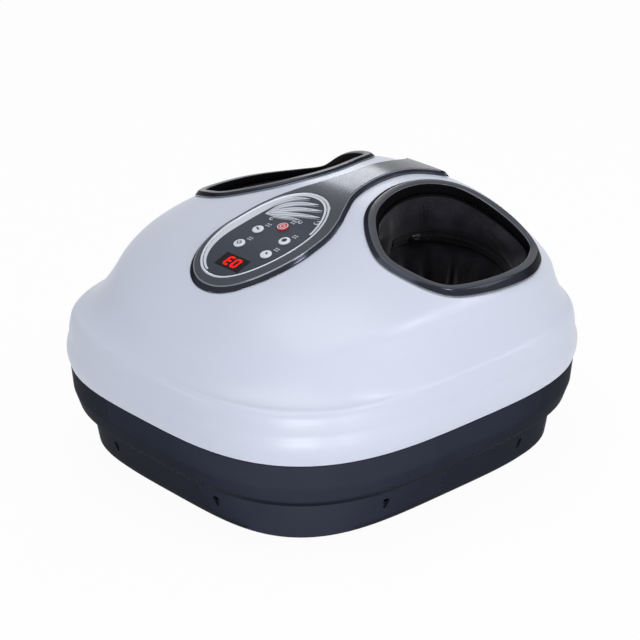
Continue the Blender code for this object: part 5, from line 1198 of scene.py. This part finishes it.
def push_button(name):
    """Round cap with a soft dome."""
    x, y = BUTTON_PLACES[name]
    normal = pad_normal(x, y)
    turn = normal.to_track_quat("Z", "Y")
    base = on_pad(x, y, 0)
    rim = FACE_HEIGHT + BUTTON_RISE
    profile = rounded([
        (0.0020, BUTTON_RADIUS), (rim - BUTTON_DOME, BUTTON_RADIUS),
        (rim, BUTTON_RADIUS - BUTTON_DOME), (rim + BUTTON_DOME / 3, BUTTON_RADIUS / 2),
        (rim + BUTTON_DOME / 2, 0.0003),
    ], 2, closed=False)
    rows = [[base + turn @ polar(radius, angle, rise) for angle in angles(64)]
            for rise, radius in profile]
    mesh = skin(name, rows, base + normal * profile[0][0], base + normal * profile[-1][0])
    colour = "red_gloss" if name == "button_power" else "button_white"
    show(name + "_cap", mesh, colour, body=name + "_body", stands_for=[name], slot=colour)


# Print

OVER = 0.00007
UNDER = -0.00003
ORNAMENT_ROOT = (-0.031, -0.047)
CREST_INSET = 0.0012
LABEL_BARS = ((0.0006, 0.0031), (0.0038, 0.0062))
DIGIT_HEIGHT = 0.0104
DIGIT_HALF = 0.0029
DIGIT_SLANT = 0.0006
SEGMENT_TRIM = 0.0004


def ribbon(work, points, width, place):
    """A strip of print along a curve, laid on the surface by place(x, y, rise)."""
    widths = width if isinstance(width, list) else [width] * len(points)
    low = PRINT_RISE - PRINT_WALL
    rows = []
    for (before, point, after), wide in zip(with_neighbours(points), widths):
        along = direction(before, after)
        left, right = beside(point, along, wide / 2), beside(point, along, -wide / 2)
        rows.append([place(*left, PRINT_RISE), place(*right, PRINT_RISE),
                     place(*right, low), place(*left, low)])
    add_strand(work, rows)


def show_print(name, strips, finish_name, place, body="housing"):
    """A piece of print from its strips, each given by its points and its width or widths."""
    work = bmesh.new()
    for points, width in strips:
        ribbon(work, points, width, place)
    sharpen(show(name, mesh_from(name, work), finish_name, body=body), 30)


def on_face(lift=0):
    """The place of print on the console's face."""
    return lambda x, y, rise: on_pad(x, y, FACE_HEIGHT + lift + rise)


def arc_points(centre, radius, start=0, end=360, count=24, shrink=0):
    """Points of an arc between two directions in degrees, or of a spiral that shrinks."""
    points = []
    for share in stops(count):
        reach = polar(radius * (1 - shrink * share), radians(start + (end - start) * share))
        points.append((centre[0] + reach.x, centre[1] + reach.y))
    return points


def curve_points(knots, count=28):
    """Smooth open curve through a few knots."""
    spans = len(knots) - 1
    points = []
    for share in stops(count):
        k = min(int(spans * share), spans - 1)
        near = [knots[min(max(k + step, 0), spans)] for step in (-1, 0, 1, 2)]
        points.append(curve_between(near, spans * share - k))
    return points


def leaf_widths(count, widest, peak=0.45, tail=0.0002):
    widths = []
    for share in stops(count):
        bend = share / peak if share < peak else (1 - share) / (1 - peak)
        widths.append(tail + widest * sin(pi / 2 * bend))
    return widths


BLADES = (
    ((-0.035, -0.040), (-0.032, -0.027), (-0.022, -0.0155), (-0.008, -0.0095), 0.0046),
    (ORNAMENT_ROOT, (-0.026, -0.031), (-0.012, -0.0195), (0.008, -0.0125), 0.0058),
    (ORNAMENT_ROOT, (-0.021, -0.036), (-0.004, -0.0255), (0.019, -0.0180), 0.0056),
    (ORNAMENT_ROOT, (-0.017, -0.040), (0.003, -0.0325), (0.025, -0.0265), 0.0048),
    (ORNAMENT_ROOT, (-0.016, -0.0445), (-0.003, -0.0405), (0.010, -0.0385), 0.0030),
)
# Each curl: centre, radius, and first and last direction in degrees
CURLS = (
    ((0.0285, -0.0330), 0.0036, 200, 560), ((0.0130, -0.0405), 0.0028, 120, 470),
    ((-0.0180, -0.0500), 0.0030, 60, 400), ((0.0215, -0.0120), 0.0026, 240, 590),
)


def console_print():
    """Silver crescent, leaf spray, label bars and the small sensor dot."""
    inner = BEZEL_WIDTH + CONSOLE_GAP
    crescent = []
    widths = []
    for share in stops(72):
        widths.append(0.0008 + 0.0090 * sin(pi * min(share * 0.62 + 0.10, 1)) ** 2)
        crescent.append(bezel_point(radians(262 - 150 * share), inner + widths[-1] / 2))
    crest = [bezel_point(radians(118 - 92 * share), inner + CREST_INSET) for share in stops(40)]
    silver = [(crescent, widths), (crest, 0.0022)]
    shades = []
    veins = []
    for *knots, widest in BLADES:
        blade = curve_points(knots)
        silver.append((blade, leaf_widths(28, widest)))
        veins.append((blade[3:24], 0.0004))
        lower = [(x + 0.0018, y - 0.0022) for x, y in blade[6:]]
        shades.append((lower, leaf_widths(22, widest * 0.55, 0.4)))
    for curl in CURLS:
        spiral = arc_points(*curl, count=36, shrink=0.72)
        silver.append((spiral, leaf_widths(36, 0.0008, 0.3, 0.0003)))
    show_print("face_ornament", silver, "print_silver", on_face())
    show_print("face_ornament_shades", shades, "print_grey", on_face(UNDER))
    show_print("face_ornament_veins", veins, "print_dark", on_face(OVER))
    bars = [
        (line((x + first, y + level), (x + last, y + level)), 0.0015)
        for x, y in BUTTON_PLACES.values() for level in (0.0080, 0.0107)
        for first, last in LABEL_BARS
    ]
    show_print("face_labels", bars, "print_pale", on_face())
    dot = arc_points((0.0200, -0.0470), 0.0007)
    show_print("face_sensor", [(dot, 0.0014)], "print_dark", on_face())


def on_cap(x, y):
    """The place of print on a button's domed cap."""
    normal = pad_normal(x, y)
    top = on_pad(x, y, 0) + normal * (FACE_HEIGHT + BUTTON_RISE + BUTTON_DOME * (1 / 3 + 1 / 5))

    def place(px, py, rise):
        flat = Vector((px - x, py - y, 0))
        drop = BUTTON_DOME / 3 * (flat.length / BUTTON_RADIUS) ** 2
        return top + flat - normal * (flat.dot(normal) + drop - rise)

    return place


def sign_strips(name, x, y):
    """A plain sign: a bar in a ring, a wave, a square, a dot or a clock's hands."""
    wave = [(x - 0.0026 + 0.0052 * share, y + 0.0009 * sin(tau * share)) for share in stops(20)]
    return {
        "button_power": [
            (arc_points((x, y), 0.0026, 130, 410), 0.0009),
            (line((x, y + 0.0006), (x, y + 0.0032)), 0.0009), (arc_points((x, y), 0.0052), 0.0008),
        ],
        "button_heat": [(wave, 0.0017)],
        "button_mode": [(arc_points((x, y), 0.0026, count=4), 0.0013)],
        "button_intensity": [(arc_points((x, y), 0.0014), 0.0027)],
        "button_timer": [
            (line((x, y), (x, y + 0.0026)), 0.0012), (line((x, y), (x + 0.0024, y)), 0.0012),
        ],
    }[name]


def button_signs():
    for name, place in BUTTON_PLACES.items():
        colour = "button_white" if name == "button_power" else "print_dark"
        show_print(name + "_sign", sign_strips(name, *place), colour, on_cap(*place),
                   name + "_body")


def display_digits():
    """Seven-segment digits, read from the user's side."""
    across, along, normal = display_axes()
    glass = FACE_HEIGHT - CONSOLE_GAP / 2 + PRINT_WALL
    centre = on_pad(DISPLAY_X, DISPLAY_Y, 0) + normal * glass
    half, tall = DIGIT_HALF, DIGIT_HEIGHT / 2
    ends = {
        "a": ((-half, -tall), (half, -tall)), "g": ((-half, 0), (half, 0)),
        "d": ((-half, tall), (half, tall)), "b": ((-half, -tall), (-half, 0)),
        "c": ((-half, 0), (-half, tall)), "f": ((half, -tall), (half, 0)),
        "e": ((half, 0), (half, tall)),
    }
    strips = []
    for letters, offset in (("abcdef", 0.0050), ("abgcd", -0.0046)):
        for letter in letters:
            start, end = (Vector(point) for point in ends[letter])
            trim = (end - start).normalized() * SEGMENT_TRIM
            points = [(x + offset + DIGIT_SLANT * y / DIGIT_HEIGHT, y)
                      for x, y in line(start + trim, end - trim, 3)]
            strips.append((points, 0.0020))
    show_print("digits", strips, "digit_red",
               lambda x, y, rise: centre + across * x + along * y + normal * rise)


# Frame pieces that stay as they are

def dress_frame():
    """Every CAD node that stays takes the finish of its own material slot; zip sliders and pulls
    take the dark zip finish.
    """
    for entry in frame["record"]["subparts"]:
        zip_part = entry["node"].startswith(("zip_slider", "zip_pull"))
        for slot in frame["nodes"][entry["node"]].material_slots:
            slot.material = FINISHES["zip_metal" if zip_part else entry["material_slot"]]


# Stage, light and camera

FLOOR_GLOW = 0.96
WORLD_LIGHT = 0.345
WORLD_SEEN = 0.80
LAMPS = (
    ("corner_softbox", (1.45, -1.35, 0.20), (1.1, 0.4), 13),
    ("top_softbox", (-0.1, -0.35, 2.15), (1.8, 1.4), 17),
    ("side_softbox", (1.05, 1.25, 1.20), (0.8, 0.8), 5.5),
    ("rear_softbox", (-1.5, 1.25, 1.15), (0.40, 0.40), 3),
    ("right_strip", (1.15, 0.37, 1.70), (0.28, 0.28), 5.0),
    ("front_strip", (-1.05, -1.80, 0.50), (0.18, 0.18), 2.0),
    ("low_strip", (2.0, -0.33, 0.13), (0.35, 0.22), 3.5),
)
STAGE_SIZE = 6
LAMP_TARGET = Vector((0, 0, 0.12))
WHITE = (1, 1, 1, 1)


def seen_rays(tree):
    """1 for rays from the camera, a glossy surface or through glass."""
    light = tree.nodes.new("ShaderNodeLightPath")
    total = light.outputs["Is Camera Ray"]
    for kind in ("Is Glossy Ray", "Is Transmission Ray"):
        total = add_node(tree, "ShaderNodeMath", {0: total, 1: light.outputs[kind]}, "MAXIMUM")
    return total


def mix_into(tree, output, share, first, last):
    """Two shaders mixed by a share, as a material's or a world's surface."""
    mixed = add_node(tree, "ShaderNodeMixShader", {"Fac": share, 1: first, 2: last})
    set_inputs(tree, tree.nodes[output], {"Surface": mixed})


def make_stage():
    made, tree, shader = finish("stage_pale", (0.86, 0.87, 0.88), 0.6)
    set_inputs(tree, shader, {"Roughness": spread(tree, 5.0, 0.55, 0.65)})
    work = bmesh.new()
    bmesh.ops.create_grid(work, x_segments=2, y_segments=2, size=STAGE_SIZE)
    floor = linked("floor", mesh_from("floor", work, outward=False))
    floor.data.materials.append(made)
    share = add_node(tree, "ShaderNodeMath", {0: seen_rays(tree), 1: FLOOR_GLOW}, "MULTIPLY")
    glow = add_node(tree, "ShaderNodeEmission", {"Color": WHITE, "Strength": 1.0})
    mix_into(tree, "Material Output", share, shader.outputs["BSDF"], glow)


def make_lamp(name, place, size, energy):
    data = bpy.data.lights.new(name, "AREA")
    data.shape = "RECTANGLE"
    data.size, data.size_y = size
    data.energy = energy
    lamp = linked(name, data)
    lamp.location = place
    lamp.rotation_euler = (LAMP_TARGET - Vector(place)).to_track_quat("-Z", "Y").to_euler()


def make_lights():
    world = bpy.data.worlds.new("studio")
    bpy.context.scene.world = world
    world.use_nodes = True
    tree = world.node_tree
    background = tree.nodes["Background"]
    set_inputs(tree, background, {"Color": (0.80, 0.84, 0.92, 1), "Strength": WORLD_LIGHT})
    seen = add_node(tree, "ShaderNodeBackground", {"Color": WHITE, "Strength": WORLD_SEEN})
    mix_into(tree, "World Output", seen_rays(tree), background.outputs["Background"], seen)
    for lamp in LAMPS:
        make_lamp(*lamp)


def make_camera():
    data = bpy.data.cameras.new("camera")
    data.lens = LENS
    data.sensor_width = SENSOR
    data.sensor_fit = "HORIZONTAL"
    data.clip_end = 20
    camera = linked("camera", data)
    az, el = CAMERA_AZIMUTH, CAMERA_ELEVATION
    back = Vector((sin(az) * cos(el), -cos(az) * cos(el), sin(el)))
    right = Vector((cos(az), sin(az), 0))
    up = back.cross(right)
    camera.location = back * CAMERA_DISTANCE + right * CAMERA_RIGHT + up * CAMERA_UP
    camera.location.z += FOOT_STAND
    camera.rotation_euler = Matrix((right, up, back)).transposed().to_euler()
    bpy.context.scene.camera = camera


def build():
    dress_frame()
    base_skin()
    top_shell()
    for word, side in (("right", 1), ("left", -1)):
        opening_ring(word, side)
        foot_liner(word, side)
        zip_tape(word, side)
    console_trim()
    console_bezel()
    console_face()
    for name in BUTTON_PLACES:
        push_button(name)
    console_print()
    button_signs()
    display_digits()


bpy.context.scene.view_settings.view_transform = "Standard"
build()
make_stage()
make_lights()
make_camera()
